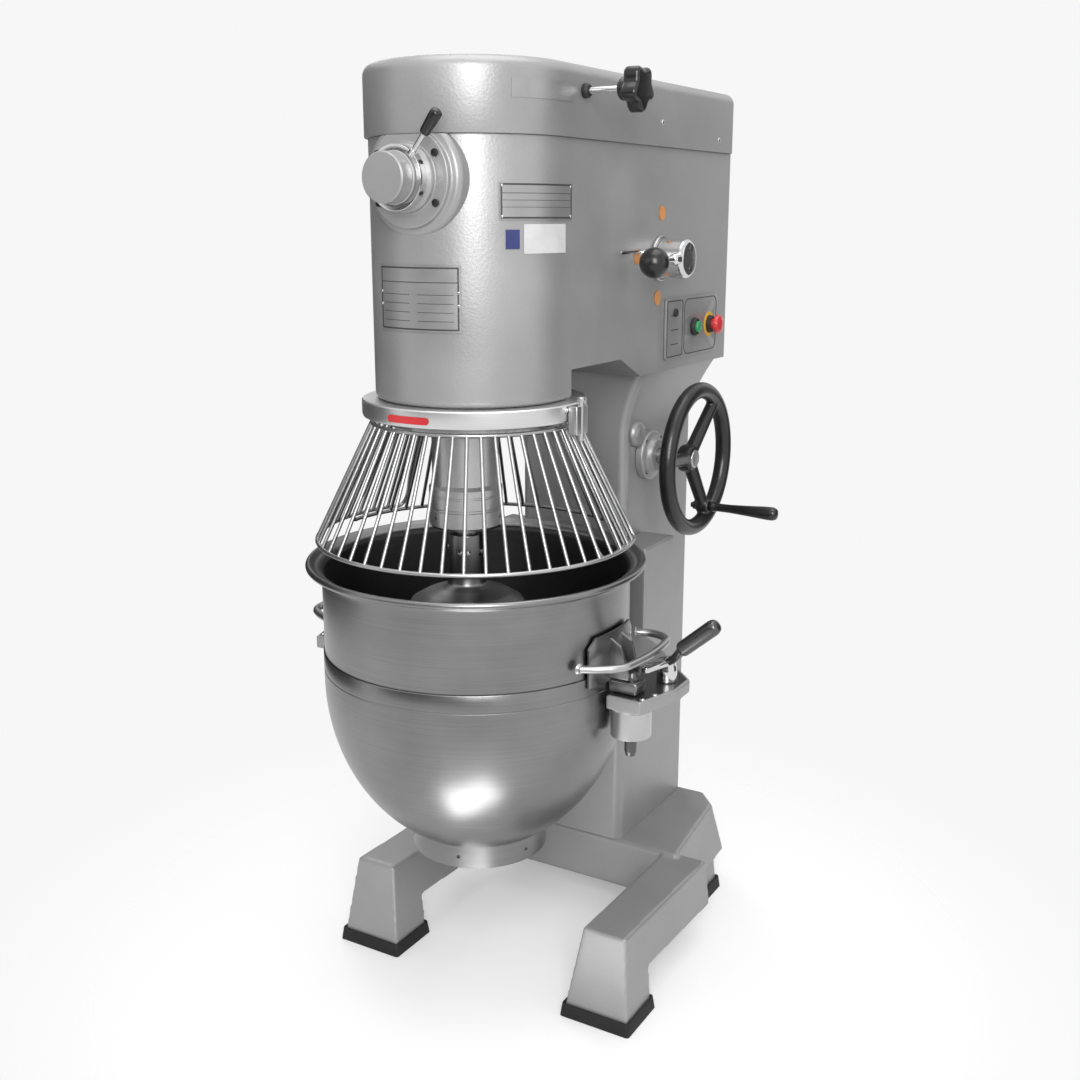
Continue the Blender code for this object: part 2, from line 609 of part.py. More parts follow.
# --- drive inside the head -------------------------------------------------------------------
def drive_train():
    ring_phase = ORBIT_ANGLE + math.pi / RING_TEETH
    ring = piece("ring_gear", turned([(0.108, 1.0565), (0.108, 1.0770), (0.138, 1.0770),
                                      (0.138, 1.0565)], steps=36, closed=True), "frame", "steel")
    cut(ring, tool(prism(gear_outline(RING_TEETH, ring_phase, internal=True), 1.05, 1.08)))
    carrier = piece("planet_carrier", disc(0.1400, CARRIER_LOW, CARRIER_HIGH, "Z", steps=32),
                    "planet", "collar_steel")
    place = (ORBIT_X, ORBIT_Y)
    neck = turned([(0, 0.880), (0.0560, 0.880), (0.0590, 0.884), (0.0590, 0.908), (0.0570, 0.911),
                   (0.0570, 0.914), (0.0590, 0.917), (0.0590, 0.944), (0.0535, 0.950),
                   (0.0535, CARRIER_LOW + 0.004), (0, CARRIER_LOW + 0.004)], "Z", (*place, 0), 24)
    weld(carrier, tool(neck, "planet"))
    cut(carrier, tool(disc(0.0194, 0.86, 1.10, "Z", place, 24), "planet"))
    shaft = turned([(0, CARRIER_HIGH + GAP), (0.0220, CARRIER_HIGH + GAP), (0.0220, 1.372),
                    (0, 1.372)], steps=24)
    piece("main_shaft", shaft, "planet", "steel")
    output = piece("output_gear", prism(gear_outline(OUTPUT_TEETH, math.pi / 2), 1.232, 1.254),
                   "planet", "steel")
    cut(output, tool(disc(0.0224, 1.2, 1.3, "Z", steps=24), "planet"))
    bevel = turned([(0, 1.3724), (0.0350, 1.3724), (0.0350, 1.3800), (0.0190, 1.3960), (0, 1.3960)],
                   steps=28)
    piece("hub_bevel_gear", bevel, "planet", "steel")
    pinion_shaft = turned([(0, -0.226), (0.0120, -0.226), (0.0120, -0.046), (0.0350, -0.046),
                           (0.0350, -0.0375), (0.0190, -0.0215), (0, -0.0215)], "Y", (0, 0, HUB_Z), 24)
    piece("hub_drive_shaft", pinion_shaft, "hub_drive", "steel")
    plate_outline = u_outline(HEAD_RADIUS - HEAD_WALL - 0.0006, 0.300, 0.004)
    plate = piece("gearbox_plate", prism(plate_outline, 1.180, 1.194), "frame", "cast_grey")
    cut(plate, tool(disc(0.0224, 1.1, 1.2, "Z", steps=24)))
    layshaft = turned([(0, 1.195), (0.0150, 1.195), (0.0150, PULLEY_HIGH + 0.004),
                       (0, PULLEY_HIGH + 0.004)], "Z", (0, LAYSHAFT_Y, 0), 20)
    piece("layshaft", layshaft, "layshaft", "steel")
    centre = (0, LAYSHAFT_Y)
    teeth = gear_outline(LAYSHAFT_TEETH, math.pi / LAYSHAFT_TEETH, centre)
    small = piece("layshaft_gear", prism(teeth, 1.230, 1.256), "layshaft", "steel")
    pulley = piece("input_pulley", disc(INPUT_PULLEY_R, PULLEY_LOW, PULLEY_HIGH, "Z", centre, ROUND),
                   "layshaft", "cast_grey")
    for wheel in (small, pulley):
        cut(wheel, tool(disc(0.0154, 1.2, 1.6, "Z", centre, 20), "layshaft"))


def belt_outline(extra):
    """The tangent loop round both pulleys, which stand on one line front to back."""
    big, small = INPUT_PULLEY_R + extra, MOTOR_PULLEY_R + extra
    lean = math.degrees(math.asin((big - small) / (MOTOR_Y - LAYSHAFT_Y)))
    outline = arc(small, lean, 180 - lean, 10, (0, MOTOR_Y))
    outline += arc(big, 180 - lean, 360 + lean, 18, (0, LAYSHAFT_Y))
    return outline


def motor():
    y = MOTOR_Y
    body_profile = [(0.0148, 1.100), (0.070, 1.100), (MOTOR_RADIUS, 1.112), (MOTOR_RADIUS, 1.375),
                    (0.060, 1.395), (0.0148, 1.395)]
    piece("motor", turned(body_profile, "Z", (0, y, 0), 24, closed=True), "frame", "cast_grey")
    rotor = turned([(0, 1.102), (0.0140, 1.102), (0.0140, PULLEY_LOW), (MOTOR_PULLEY_R, PULLEY_LOW),
                    (MOTOR_PULLEY_R, PULLEY_HIGH), (0, PULLEY_HIGH)], "Z", (0, y, 0), 24)
    piece("motor_rotor", rotor, "motor_rotor", "steel")
    belt = piece("drive_belt", prism(belt_outline(BELT_THICK + 0.0006), 1.507, 1.533), "frame", "rubber")
    cut(belt, tool(prism(belt_outline(0.0006), 1.50, 1.54)))


# --- agitator --------------------------------------------------------------------------------
def agitator():
    place = (ORBIT_X, ORBIT_Y)
    shaft = turned([(0, 0.790), (0.0180, 0.790), (0.0180, 0.876), (0.0190, 0.880), (0.0190, 1.0555),
                    (0, 1.0555)], "Z", (*place, 0), 24)
    spindle = piece("agitator_shaft", shaft, "agitator", "steel")
    weld(spindle, tool(disc(0.0050, ORBIT_X - 0.034, ORBIT_X + 0.034, "X", (ORBIT_Y, PIN_Z), 10),
                       "agitator"))
    pinion = prism(gear_outline(PLANET_TEETH, ORBIT_ANGLE, place), 1.0550, 1.0765)
    weld(spindle, tool(pinion, "agitator"))
    dome = turned([(0.0184, 0.765), (0.0184, 0.868), (0.0270, 0.868), (0.0290, 0.864), (0.0290, 0.790),
                   (0.0400, 0.775), (0.0700, 0.765), (0.0960, 0.748), (0.0960, 0.740), (0.0700, 0.745)],
                  "Z", (*place, 0), 24, closed=True)
    profile = [(0.086, 0.756), (0.089, 0.735), (0.110, 0.670), (0.125, 0.590), (0.121, 0.500),
               (0.100, 0.435), (0.060, 0.385), (0.016, 0.368)]
    whisk = cage("whisk", "agitator", profile, 0.005, 0, 60.0, 6, place, closed=True)
    slots = [tool(box(ORBIT_X + hand * 0.026 - 0.012, ORBIT_X + hand * 0.026 + 0.012, ORBIT_Y - 0.0056,
                      ORBIT_Y + 0.0056, PIN_Z - 0.0056, 0.88), "agitator") for hand in (-1, 1)]
    weld(whisk, tool(dome, "agitator"))
    cut(whisk, *slots)


# --- bowl and its carriage -------------------------------------------------------------------
def bottom_z(radius, shell_radius, depth):
    """Height of the round bottom at a radius."""
    return BOWL_SHOULDER_Z - depth * math.sqrt(1.0 - (radius / shell_radius) ** 2)


def bowl_bottom(shell_radius, depth, low_radius, steps):
    """Points up the round bottom, from a given radius to the shoulder."""
    points = []
    start = math.acos(low_radius / shell_radius)
    for step in range(steps + 1):
        angle = start * (1 - step / steps)
        points.append((shell_radius * math.cos(angle), BOWL_SHOULDER_Z - depth * math.sin(angle)))
    return points


def bowl():
    """One turned shell: foot ring, round bottom, welded band and rolled rim."""
    wall, seam = BOWL_WALL, 0.655
    lowest = BOWL_SHOULDER_Z - BOWL_DEPTH
    ring_inner = FOOT_RING_R - 0.004
    outer = [(0, lowest), (0.060, bottom_z(0.060, BOWL_RADIUS, BOWL_DEPTH)),
             (ring_inner, bottom_z(ring_inner, BOWL_RADIUS, BOWL_DEPTH)), (ring_inner, FOOT_RING_Z),
             (FOOT_RING_R, FOOT_RING_Z), (FOOT_RING_R, bottom_z(FOOT_RING_R, BOWL_RADIUS, BOWL_DEPTH))]
    outer += bowl_bottom(BOWL_RADIUS, BOWL_DEPTH, 0.155, 4)
    outer += [(BOWL_RADIUS, seam), (BOWL_RADIUS - 0.002, seam + 0.002), (BOWL_RADIUS - 0.002, 0.790),
              (BOWL_RADIUS + 0.004, 0.797), (BOWL_RIM_R - 0.003, 0.797), (BOWL_RIM_R, 0.801),
              (BOWL_RIM_R, 0.805), (BOWL_RIM_R - 0.004, BOWL_RIM_Z)]
    inner_radius = BOWL_RADIUS - 0.002 - wall
    inner = [(BOWL_RADIUS - 0.002, BOWL_RIM_Z), (inner_radius, 0.800)]
    inner += reversed(bowl_bottom(inner_radius, BOWL_DEPTH - wall, 0.060, 6))
    inner += [(0, lowest + wall)]
    piece("bowl", turned(outer + inner, steps=36), "carriage", "stainless")


def bowl_fittings(hand):
    """A ridged ear that drops over the yoke pin, and a tube handle round it."""
    plate_inner = BOWL_RADIUS + GAP * 3
    plate = arc(plate_inner, -16, 16, 6) + arc(plate_inner + 0.006, 16, -16, 6)
    ear = piece("bowl_ear_" + hand, side(prism(plate, 0.640, 0.722), hand), "carriage", "stainless")
    lug = box(0.2640, 0.3180, -0.024, 0.024, ARM_TOP + GAP, 0.650)
    gusset_points = [(0.2660, 0.648), (0.3000, 0.648), (0.2860, 0.700), (0.2660, 0.716)]
    for y in (-0.022, 0.016):
        gusset = bmesh.new()
        near = [gusset.verts.new((x, y, z)) for x, z in gusset_points]
        raised = bmesh.ops.extrude_face_region(gusset, geom=[gusset.faces.new(near)])
        moved = [item for item in raised["geom"] if isinstance(item, bmesh.types.BMVert)]
        bmesh.ops.translate(gusset, verts=moved, vec=(0, 0.006, 0))
        bmesh.ops.recalc_face_normals(gusset, faces=gusset.faces)
        weld(ear, tool(side(gusset, hand), "carriage"))
    sink = disc(BOWL_RADIUS + GAP * 3, 0.60, 0.75, "Z", steps=60)
    weld(ear, tool(side(lug, hand), "carriage"))
    cut(ear, tool(sink, "carriage"),
        tool(side(disc(0.0114, 0.60, 0.66, "Z", YOKE_PIN), hand), "carriage"))
    route = [(0.2470, -0.093), (0.2800, -0.080), (0.3050, -0.058), (HANDLE_X, -0.035),
             (HANDLE_X, 0.085), (0.3050, 0.106), (0.2760, 0.122), (0.2390, 0.112)]
    curve = bpy.data.curves.new("bowl_handle_" + hand, 'CURVE')
    curve.dimensions = '3D'
    curve.bevel_depth = HANDLE_TUBE
    curve.bevel_resolution = 2
    curve.use_fill_caps = True
    spline = curve.splines.new('POLY')
    spline.points.add(len(route) - 1)
    flip = -1 if hand == "left" else 1
    for point, (x, y) in zip(spline.points, route):
        reach = math.hypot(x, y)
        grow = max(1.0, (BOWL_RADIUS + HANDLE_TUBE + 0.0015) / reach) if reach < 0.272 else 1.0
        point.co = (flip * x * grow, y * grow, HANDLE_Z, 1)
    curve.materials.append(PAINTS["chrome"])
    handle = bpy.data.objects.new("bowl_handle_" + hand, curve)
    bpy.context.collection.objects.link(handle)
    handle.parent = BODIES["carriage"][0]
    handle.location = -BODIES["carriage"][1]


def bowl_yoke():
    """A saddle that hugs the column, with an arm round each side of the bowl."""
    yoke = piece("bowl_yoke", box(-SADDLE_HALF_WIDTH, SADDLE_HALF_WIDTH, SADDLE_FRONT, SADDLE_BACK,
                                  SADDLE_LOW, SADDLE_HIGH), "carriage", "hammertone")
    for hand in ("right", "left"):
        sweep = arc(ARM_INNER_R, 4, 74, 14) + arc(ARM_OUTER_R, 62, 14, 10)
        end = [(0.2660, -0.035), (0.3280, -0.037), (0.3540, 0.045), (0.3530, 0.100), (0.3150, 0.140),
               (0.2560, 0.130), (0.2730, 0.020)]
        weld(yoke, tool(side(prism(sweep, ARM_LOW, ARM_TOP - 0.002), hand), "carriage"),
             tool(side(prism(end, ARM_LOW + 0.012, ARM_TOP), hand), "carriage"),
             tool(side(disc(YOKE_BOSS_R, 0.547, ARM_LOW + 0.014, "Z", YOKE_PIN, 24), hand), "carriage"))
    channel = box(-COLUMN_HALF_WIDTH - GAP * 2, COLUMN_HALF_WIDTH + GAP * 2, COLUMN_FRONT - GAP * 2,
                  SADDLE_BACK + 0.01, SADDLE_LOW - 0.01, SADDLE_HIGH + 0.01)
    bowl_clearance = disc(BOWL_RADIUS + 0.0030, 0.50, 0.70, "Z", steps=48)
    cut(yoke, tool(channel, "carriage"), tool(bowl_clearance, "carriage"))
    for hand in ("right", "left"):
        cut(yoke, tool(side(disc(0.0110, 0.50, 0.65, "Z", YOKE_PIN), hand), "carriage"))
        pin = side(turned([(0, 0.512), (0.0095, 0.512), (0.0106, 0.515), (0.0106, 0.648), (0.0080, 0.655),
                           (0, 0.655)], "Z", (*YOKE_PIN, 0), FINE), hand)
        piece("yoke_pin_" + hand, pin, "carriage", "steel")


def bowl_clamp(hand):
    """A toe on a vertical pivot that swings over the ear, with a raised grip."""
    owner = "clamp_" + hand
    x, y = CLAMP_PIVOT
    low = ARM_TOP + GAP
    lever = piece("clamp_lever_" + hand, side(disc(0.0170, low, 0.6500, "Z", (x, y), 20), hand),
                  owner, "chrome")
    toe = [(x - 0.012, y + 0.004), (x - 0.019, y - 0.058), (x - 0.006, y - 0.064), (x + 0.014, y + 0.002)]
    elbow = (x + 0.032, y - 0.010, 0.684)
    tip = (x + 0.092, y - 0.012, 0.736)
    weld(lever, tool(side(prism(toe, 0.6506, 0.6600), hand), owner),
         tool(side(disc(0.0150, 0.6490, 0.6600, "Z", (x, y), 20), hand), owner),
         tool(side(rod(0.0085, (x, y, 0.652), elbow, 10), hand), owner),
         tool(side(rod(0.0060, elbow, Vector(elbow).lerp(Vector(tip), 0.5), 10), hand), owner))
    start = Vector(elbow).lerp(Vector(tip), 0.14)
    grip = piece("clamp_grip_" + hand, side(rod(0.0125, start, tip, 14), hand), owner, "dark_steel")
    bore_end = Vector(elbow).lerp(Vector(tip), 0.55)
    cut(grip, tool(side(rod(0.0066, elbow, bore_end, 10), hand), owner))


def lift_nut():
    nut = piece("lift_nut", box(-0.030, 0.030, 0.388, 0.442, 0.640, 0.690), "carriage", "bronze")
    arm = box(-0.024, 0.024, COLUMN_FRONT - GAP, 0.389, 0.645, 0.685)
    weld(nut, tool(arm, "carriage"))
    cut(nut, tool(disc(SCREW_RADIUS + 0.0006, 0.6, 0.7, "Z", (0, WHEEL_Y), 24), "carriage"))


# --- lift drive ------------------------------------------------------------------------------
def lift_drive():
    screw = turned([(0, 0.300), (SCREW_RADIUS, 0.300), (SCREW_RADIUS, 0.886), (0.0490, 0.886),
                    (0.0490, 0.8965), (0.0320, 0.9065), (0, 0.9065)], "Z", (0, WHEEL_Y, 0), 24)
    piece("lift_screw", screw, "lift_screw", "steel")
    foot = turned([(SCREW_RADIUS + 0.0006, 0.318), (0.040, 0.318), (0.040, 0.340),
                   (SCREW_RADIUS + 0.0006, 0.340)], "Z", (0, WHEEL_Y, 0), 24, closed=True)
    bearing = piece("screw_bearing", foot, "frame", "cast_grey")
    inner_x = COLUMN_HALF_WIDTH - COLUMN_WALL - GAP
    shelf = box(-inner_x, inner_x, 0.380, 0.450, 0.304, 0.320)
    weld(bearing, tool(shelf))
    cut(bearing, tool(disc(SCREW_RADIUS + 0.0006, 0.29, 0.35, "Z", (0, WHEEL_Y), 24)))
    flange = turned([(0.0146, COLUMN_HALF_WIDTH + GAP), (0.0146, 0.140), (0.0300, 0.140), (0.0340, 0.130),
                     (0.0470, 0.128), (0.0470, COLUMN_HALF_WIDTH + GAP)], "X", (0, WHEEL_Y, WHEEL_Z),
                    28, closed=True)
    piece("wheel_bearing", flange, "frame", "collar_steel")
    shaft = turned([(0, 0.0320), (0.0165, 0.0320), (0.0265, 0.0500), (0.0265, 0.0600), (0.0140, 0.0600),
                    (0.0140, 0.1840), (0, 0.1840)], "X", (0, WHEEL_Y, WHEEL_Z), 24)
    piece("wheel_shaft", shaft, "handwheel", "steel")


def spoke_point(angle, radius, x):
    turn = math.radians(angle)
    return (x, WHEEL_Y + radius * math.cos(turn), WHEEL_Z + radius * math.sin(turn))


def handwheel():
    section = arc(WHEEL_TUBE, 0, 315, 7, (WHEEL_RIM_R, 0))
    rim = turned(section, "X", (WHEEL_X, WHEEL_Y, WHEEL_Z), ROUND, closed=True)
    wheel = piece("handwheel", rim, "handwheel", "black_plastic")
    hub_low = 0.1840 + GAP
    weld(wheel, tool(disc(0.0250, hub_low, 0.2140, "X", (WHEEL_Y, WHEEL_Z), 24), "handwheel"))
    for angle in WHEEL_SPOKE_ANGLES:
        weld(wheel, tool(rod(0.0105, spoke_point(angle, 0.015, 0.200),
                             spoke_point(angle, WHEEL_RIM_R, WHEEL_X), 8), "handwheel"))
    spot = spoke_point(WHEEL_SPOKE_ANGLES[0], CRANK_R, 0)[1:]
    weld(wheel, tool(disc(0.0130, 0.204, 0.2280, "X", spot, 16), "handwheel"))
    grip = turned([(0, 0.2284), (0.0100, 0.2284), (0.0075, 0.2400), (0.0085, 0.2800),
                   (0.0125, CRANK_END_X - 0.012), (0.0110, CRANK_END_X - 0.002), (0, CRANK_END_X)],
                  "X", (0, *spot), FINE)
    piece("crank_grip", grip, "crank", "black_plastic")


# --- build -----------------------------------------------------------------------------------
def make_paints():
    paint("hammertone", (0.46, 0.46, 0.46), 0.38, 0.55)
    paint("collar_steel", (0.55, 0.55, 0.55), 0.35, 0.7)
    paint("stainless", (0.60, 0.60, 0.60), 0.28, 1.0)
    paint("chrome", (0.75, 0.75, 0.75), 0.15, 1.0)
    paint("steel", (0.50, 0.50, 0.51), 0.35, 1.0)
    paint("dark_steel", (0.18, 0.18, 0.19), 0.35, 0.6)
    paint("cast_grey", (0.25, 0.26, 0.27), 0.6, 0.3)
    paint("bronze", (0.55, 0.40, 0.22), 0.4, 1.0)
    paint("plate_silver", (0.55, 0.56, 0.57), 0.35, 0.8)
    paint("black_plastic", (0.02, 0.02, 0.02), 0.35, 0.0)
    paint("rubber", (0.015, 0.015, 0.015), 0.8, 0.0)
    paint("green", (0.05, 0.35, 0.12), 0.4, 0.0)
    paint("red", (0.60, 0.04, 0.04), 0.4, 0.0)


def make_bodies():
    body("frame", (0, 0, 0))
    body("carriage", (0, WHEEL_Y, 0.60), "frame")
    body("clamp_right", (*CLAMP_PIVOT, 0.60), "carriage")
    body("clamp_left", (-CLAMP_PIVOT[0], CLAMP_PIVOT[1], 0.60), "carriage")
    body("guard", (0, 0, GUARD_TOP_Z), "frame")
    body("planet", (0, 0, CARRIER_HIGH), "frame")
    body("agitator", (ORBIT_X, ORBIT_Y, CARRIER_LOW), "planet")
    body("layshaft", (0, LAYSHAFT_Y, PULLEY_LOW), "frame")
    body("motor_rotor", (0, MOTOR_Y, PULLEY_LOW), "frame")
    body("hub_drive", (0, HUB_CAP_Y, HUB_Z), "frame")
    body("hub_lever", (0, -0.200, HUB_Z), "frame")
    body("lift_screw", (0, WHEEL_Y, 0.30), "frame")
    body("handwheel", (WHEEL_X, WHEEL_Y, WHEEL_Z), "frame")
    body("crank", spoke_point(WHEEL_SPOKE_ANGLES[0], CRANK_R, WHEEL_X), "handwheel")
    body("start_button", (0.174, START_Y, BUTTON_Z), "frame")
    body("stop_button", (0.174, STOP_Y, BUTTON_Z), "frame")
    body("gear_selector", (0.170, SELECTOR_Y, SELECTOR_Z), "frame")
    body("speed_knob", (0.200, KNOB_Y, KNOB_Z), "frame")


def main():
    make_paints()
    make_bodies()
    base_casting()
    for hand in ("left", "right"):
        foot_pad("front_pad_" + hand, FRONT_PAD, hand)
        foot_pad("rear_pad_" + hand, REAR_PAD, hand)
    column()
    cable_gland()
    head_housing()
    top_cover()
    rear_panel()
    drip_collar()
    guard_bracket()
    guards()
    name_plates()
    hub()
    hub_lever()
    control_panel()
    buttons()
    gear_selector()
    speed_knob()
    drive_train()
    motor()
    agitator()
    bowl()
    bowl_yoke()
    lift_nut()
    for hand in ("left", "right"):
        bowl_fittings(hand)
        bowl_clamp(hand)
    lift_drive()
    handwheel()


main()
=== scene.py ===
"""The looks of a floor-standing planetary mixer, built round its fixed CAD frame.

Pieces are drawn in metres from the bowl's own axis at floor level: +Z up, -Y to the front and +X
to the handwheel side.  piece() then moves each one to its place in the frame.
"""
import math

import bmesh
import bpy
from mathutils import Matrix, Vector

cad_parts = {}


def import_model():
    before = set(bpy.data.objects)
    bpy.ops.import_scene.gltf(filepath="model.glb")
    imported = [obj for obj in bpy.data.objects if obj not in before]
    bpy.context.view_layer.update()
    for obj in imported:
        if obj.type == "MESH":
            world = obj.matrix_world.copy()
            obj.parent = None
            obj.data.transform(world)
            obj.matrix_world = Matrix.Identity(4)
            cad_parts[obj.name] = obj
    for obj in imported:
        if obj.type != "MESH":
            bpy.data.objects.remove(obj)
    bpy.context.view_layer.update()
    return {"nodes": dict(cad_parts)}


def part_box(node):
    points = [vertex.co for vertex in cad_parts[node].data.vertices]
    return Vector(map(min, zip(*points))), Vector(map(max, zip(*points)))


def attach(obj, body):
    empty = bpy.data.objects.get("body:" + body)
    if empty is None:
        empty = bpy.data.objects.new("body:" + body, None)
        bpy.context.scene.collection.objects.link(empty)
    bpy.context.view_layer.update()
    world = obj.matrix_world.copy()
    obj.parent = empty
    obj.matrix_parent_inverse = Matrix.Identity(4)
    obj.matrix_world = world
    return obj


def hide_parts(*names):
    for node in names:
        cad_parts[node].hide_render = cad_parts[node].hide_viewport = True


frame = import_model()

BOWL_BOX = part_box("bowl")
AXIS_Y = (BOWL_BOX[0].y + BOWL_BOX[1].y) / 2


def span(node):
    """A CAD node's corners, measured from the bowl's axis."""
    low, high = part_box(node)
    shift = Vector((0, AXIS_Y, 0))
    return low - shift, high - shift


# --- sizes -----------------------------------------------------------------------------------
GAP = 0.0004                     # clearance between pieces that touch
ROUND = 128                      # steps of a large turned piece
SMALL = 40                       # steps of a small turned piece
HANDS = ("right", "left")        # the +X side and the -X side

HEAD_LOW, HEAD_HIGH = span("head_housing")
HEAD_RADIUS = HEAD_HIGH.x - 0.0002
HEAD_BACK = HEAD_HIGH.y
HEAD_WALL = 0.010
HEAD_SEAM = HEAD_HIGH.z
HEAD_NOSE = HEAD_LOW.z
NOTCH_Z = HEAD_NOSE + 0.048
REAR_Z = HEAD_NOSE + 0.011
NOTCH_START, NOTCH_SLOPE, NOTCH_END = 0.037, 0.208, 0.287
COVER_LOW, COVER_HIGH = span("top_cover")
COVER_RADIUS = COVER_HIGH.x

BASE_LOW, BASE_HIGH = span("base_casting")
BASE_TOP = BASE_HIGH.z - 0.003
COLUMN_LOW, COLUMN_HIGH = span("column")
COLUMN_HALF = 0.112
COLUMN_FRONT, COLUMN_BACK = COLUMN_LOW.y, 0.622
FLARE_START = 1.000

COLLAR_LOW, COLLAR_HIGH = span("drip_collar")
COLLAR_RADIUS, COLLAR_BORE = COLLAR_HIGH.x, 0.148
BOWL_RIM_R = span("bowl")[1].x
BOWL_RIM_Z = span("bowl")[1].z
BOWL_RADIUS = BOWL_RIM_R - 0.024
BOWL_SHOULDER, BOWL_DEPTH = BOWL_RIM_Z - 0.204, 0.311
FOOT_RING_R, FOOT_RING_Z = 0.118, span("bowl")[0].z

GUARD_TOP_Z, GUARD_TOP_R = 1.043, 0.166
GUARD_LOW_Z, GUARD_LOW_R = 0.843, 0.265
GUARD_WIRE = 0.0030
GUARD_INSET = 0.0115

YOKE_LOW, YOKE_HIGH = span("bowl_yoke")
ARM_LOW, ARM_TOP = 0.585, 0.620
YOKE_PIN = (0.296, -0.002)
PIN_SOCKET_R, PIN_BORE_R = 0.0116, 0.0112
CLAMP_PIVOT = (0.322, 0.075)
HANDLE_X, HANDLE_Z, HANDLE_TUBE = 0.312, 0.680, 0.0065

SHAFT_LOW, SHAFT_HIGH = span("agitator_shaft")
ORBIT = ((SHAFT_LOW.x + SHAFT_HIGH.x) / 2, (SHAFT_LOW.y + SHAFT_HIGH.y) / 2)
PIN_Z = 0.838

HUB_Z = (span("hub_cap")[0].z + span("hub_cap")[1].z) / 2
HUB_FACE_Y = -0.172
HUB_CAP_Y = span("hub_cap")[0].y
WHEEL_LOW, WHEEL_HIGH = span("handwheel")
WHEEL_Y, WHEEL_Z = (WHEEL_LOW.y + WHEEL_HIGH.y) / 2, (WHEEL_LOW.z + WHEEL_HIGH.z) / 2
WHEEL_X = WHEEL_HIGH.x - 0.015
WHEEL_RIM_R, WHEEL_TUBE = 0.127, 0.0150
SPOKE_ANGLES = (-66.0, 54.0, 174.0)
CRANK_LOW, CRANK_HIGH = span("crank_grip")
CRANK_Y, CRANK_Z = (CRANK_LOW.y + CRANK_HIGH.y) / 2, (CRANK_LOW.z + CRANK_HIGH.z) / 2

SELECTOR_Y, SELECTOR_Z, SELECTOR_R = 0.356, 1.290, 0.034
SELECTOR_ARM = 0.129
PANEL_LOW, PANEL_HIGH = span("control_panel")
PLATE_LIFT, PLATE_THICK = 0.0008, 0.0012
LINE_LIFT, LINE_THICK = 0.0021, 0.0002
RIVET_LIFT = 0.0019
START_Y, STOP_Y, BUTTON_Z = 0.500, 0.572, 1.161
KNOB_Y, KNOB_Z = 0.061, 1.547


# --- finishes --------------------------------------------------------------------------------
class Value:
    """An output socket that takes part in arithmetic; each operator adds one Math node."""

    def __init__(self, finish, socket):
        self.finish, self.socket = finish, socket

    def combine(self, operation, first, second):
        return self.finish.add("ShaderNodeMath", {"operation": operation}, {0: first, 1: second})

    def __add__(self, other):
        return self.combine("ADD", self, other)

    def __radd__(self, other):
        return self.combine("ADD", other, self)

    def __mul__(self, other):
        return self.combine("MULTIPLY", self, other)


class Finish:
    """A surface finish: one material, its nodes and its Principled shader."""

    def __init__(self, name):
        self.material = bpy.data.materials.new(name)
        self.material.use_nodes = True
        self.tree = self.material.node_tree
        self.shader = self.tree.nodes["Principled BSDF"]
        self.place = self.add("ShaderNodeTexCoord", {}, {}, "Object")

    def add(self, kind, settings, sockets, output=0):
        """Adds a node: its settings first, a ramp's stops among them, then its sockets."""
        node = self.tree.nodes.new(kind)
        for key, setting in settings.items():
            if key == "stops":
                for index, (position, colour) in enumerate(setting):
                    if index > 1:
                        node.color_ramp.elements.new(position)
                    node.color_ramp.elements[index].position = position
                    node.color_ramp.elements[index].color = (*colour, 1.0)
            else:
                setattr(node, key, setting)
        for key, value in sockets.items():
            self.feed(node.inputs[key], value)
        return Value(self, node.outputs[output])

    def feed(self, socket, value):
        if isinstance(value, Value):
            self.tree.links.new(value.socket, socket)
        else:
            socket.default_value = value

    def grain(self, scale, detail=2.0, stretch=(1.0, 1.0, 1.0)):
        """Noise of so many cells to the metre, drawn out where stretch is small."""
        placed = self.add("ShaderNodeMapping", {}, {"Vector": self.place, "Scale": stretch})
        return self.add("ShaderNodeTexNoise", {}, {"Vector": placed, "Scale": scale, "Detail": detail})

    def dimples(self, scale, softness=0.6):
        """Rounded cells, as hammered paint shows."""
        return self.add("ShaderNodeTexVoronoi", {"feature": 'SMOOTH_F1'},
                        {"Vector": self.place, "Scale": scale, "Smoothness": softness})

    def between(self, value, dark, pale):
        """A colour that goes from dark to pale as the value rises through its middle range."""
        return self.add("ShaderNodeValToRGB", {"stops": ((0.30, dark), (0.72, pale))}, {"Fac": value})

    def relief(self, height, depth, strength=1.0):
        bump = self.add("ShaderNodeBump", {}, {"Height": height, "Distance": depth, "Strength": strength})
        self.feed(self.shader.inputs["Normal"], bump)

    def surface(self, **values):
        """Sets the shader's sockets: base_color, roughness, metallic and so on."""
        for key, value in values.items():
            self.feed(self.shader.inputs[key.replace("_", " ").title()], value)
        return self.material


def grey(level):
    """An even grey of the given level."""
    return (level, level, level)


def silver_paint():
    """Silver-grey hammered paint over castings."""
    finish = Finish("silver_paint")
    cells = finish.dimples(230.0)
    peel = finish.grain(420.0, 2.0)
    cloud = finish.grain(9.0, 4.0)
    speck = finish.grain(900.0, 1.0)
    finish.relief(cells * 0.7 + peel * 0.3, 0.00035, 0.55)
    return finish.surface(base_color=finish.between(cloud * 0.6 + speck * 0.4, grey(0.340), grey(0.420)),
                          roughness=0.33 + cloud * 0.16, metallic=0.45)


def brushed_steel(name, dark, pale, rough, streak, depth):
    """Steel brushed round a vertical axis, with faint handling marks."""
    finish = Finish(name)
    lines = finish.grain(60.0, 3.0, (0.06, 0.06, streak))
    smudge = finish.grain(7.0, 5.0)
    finish.relief(lines, depth, 0.6)
    return finish.surface(base_color=finish.between(lines * 0.45 + smudge * 0.55, dark, pale),
                          roughness=rough + lines * 0.10 + smudge * 0.12, metallic=1.0)


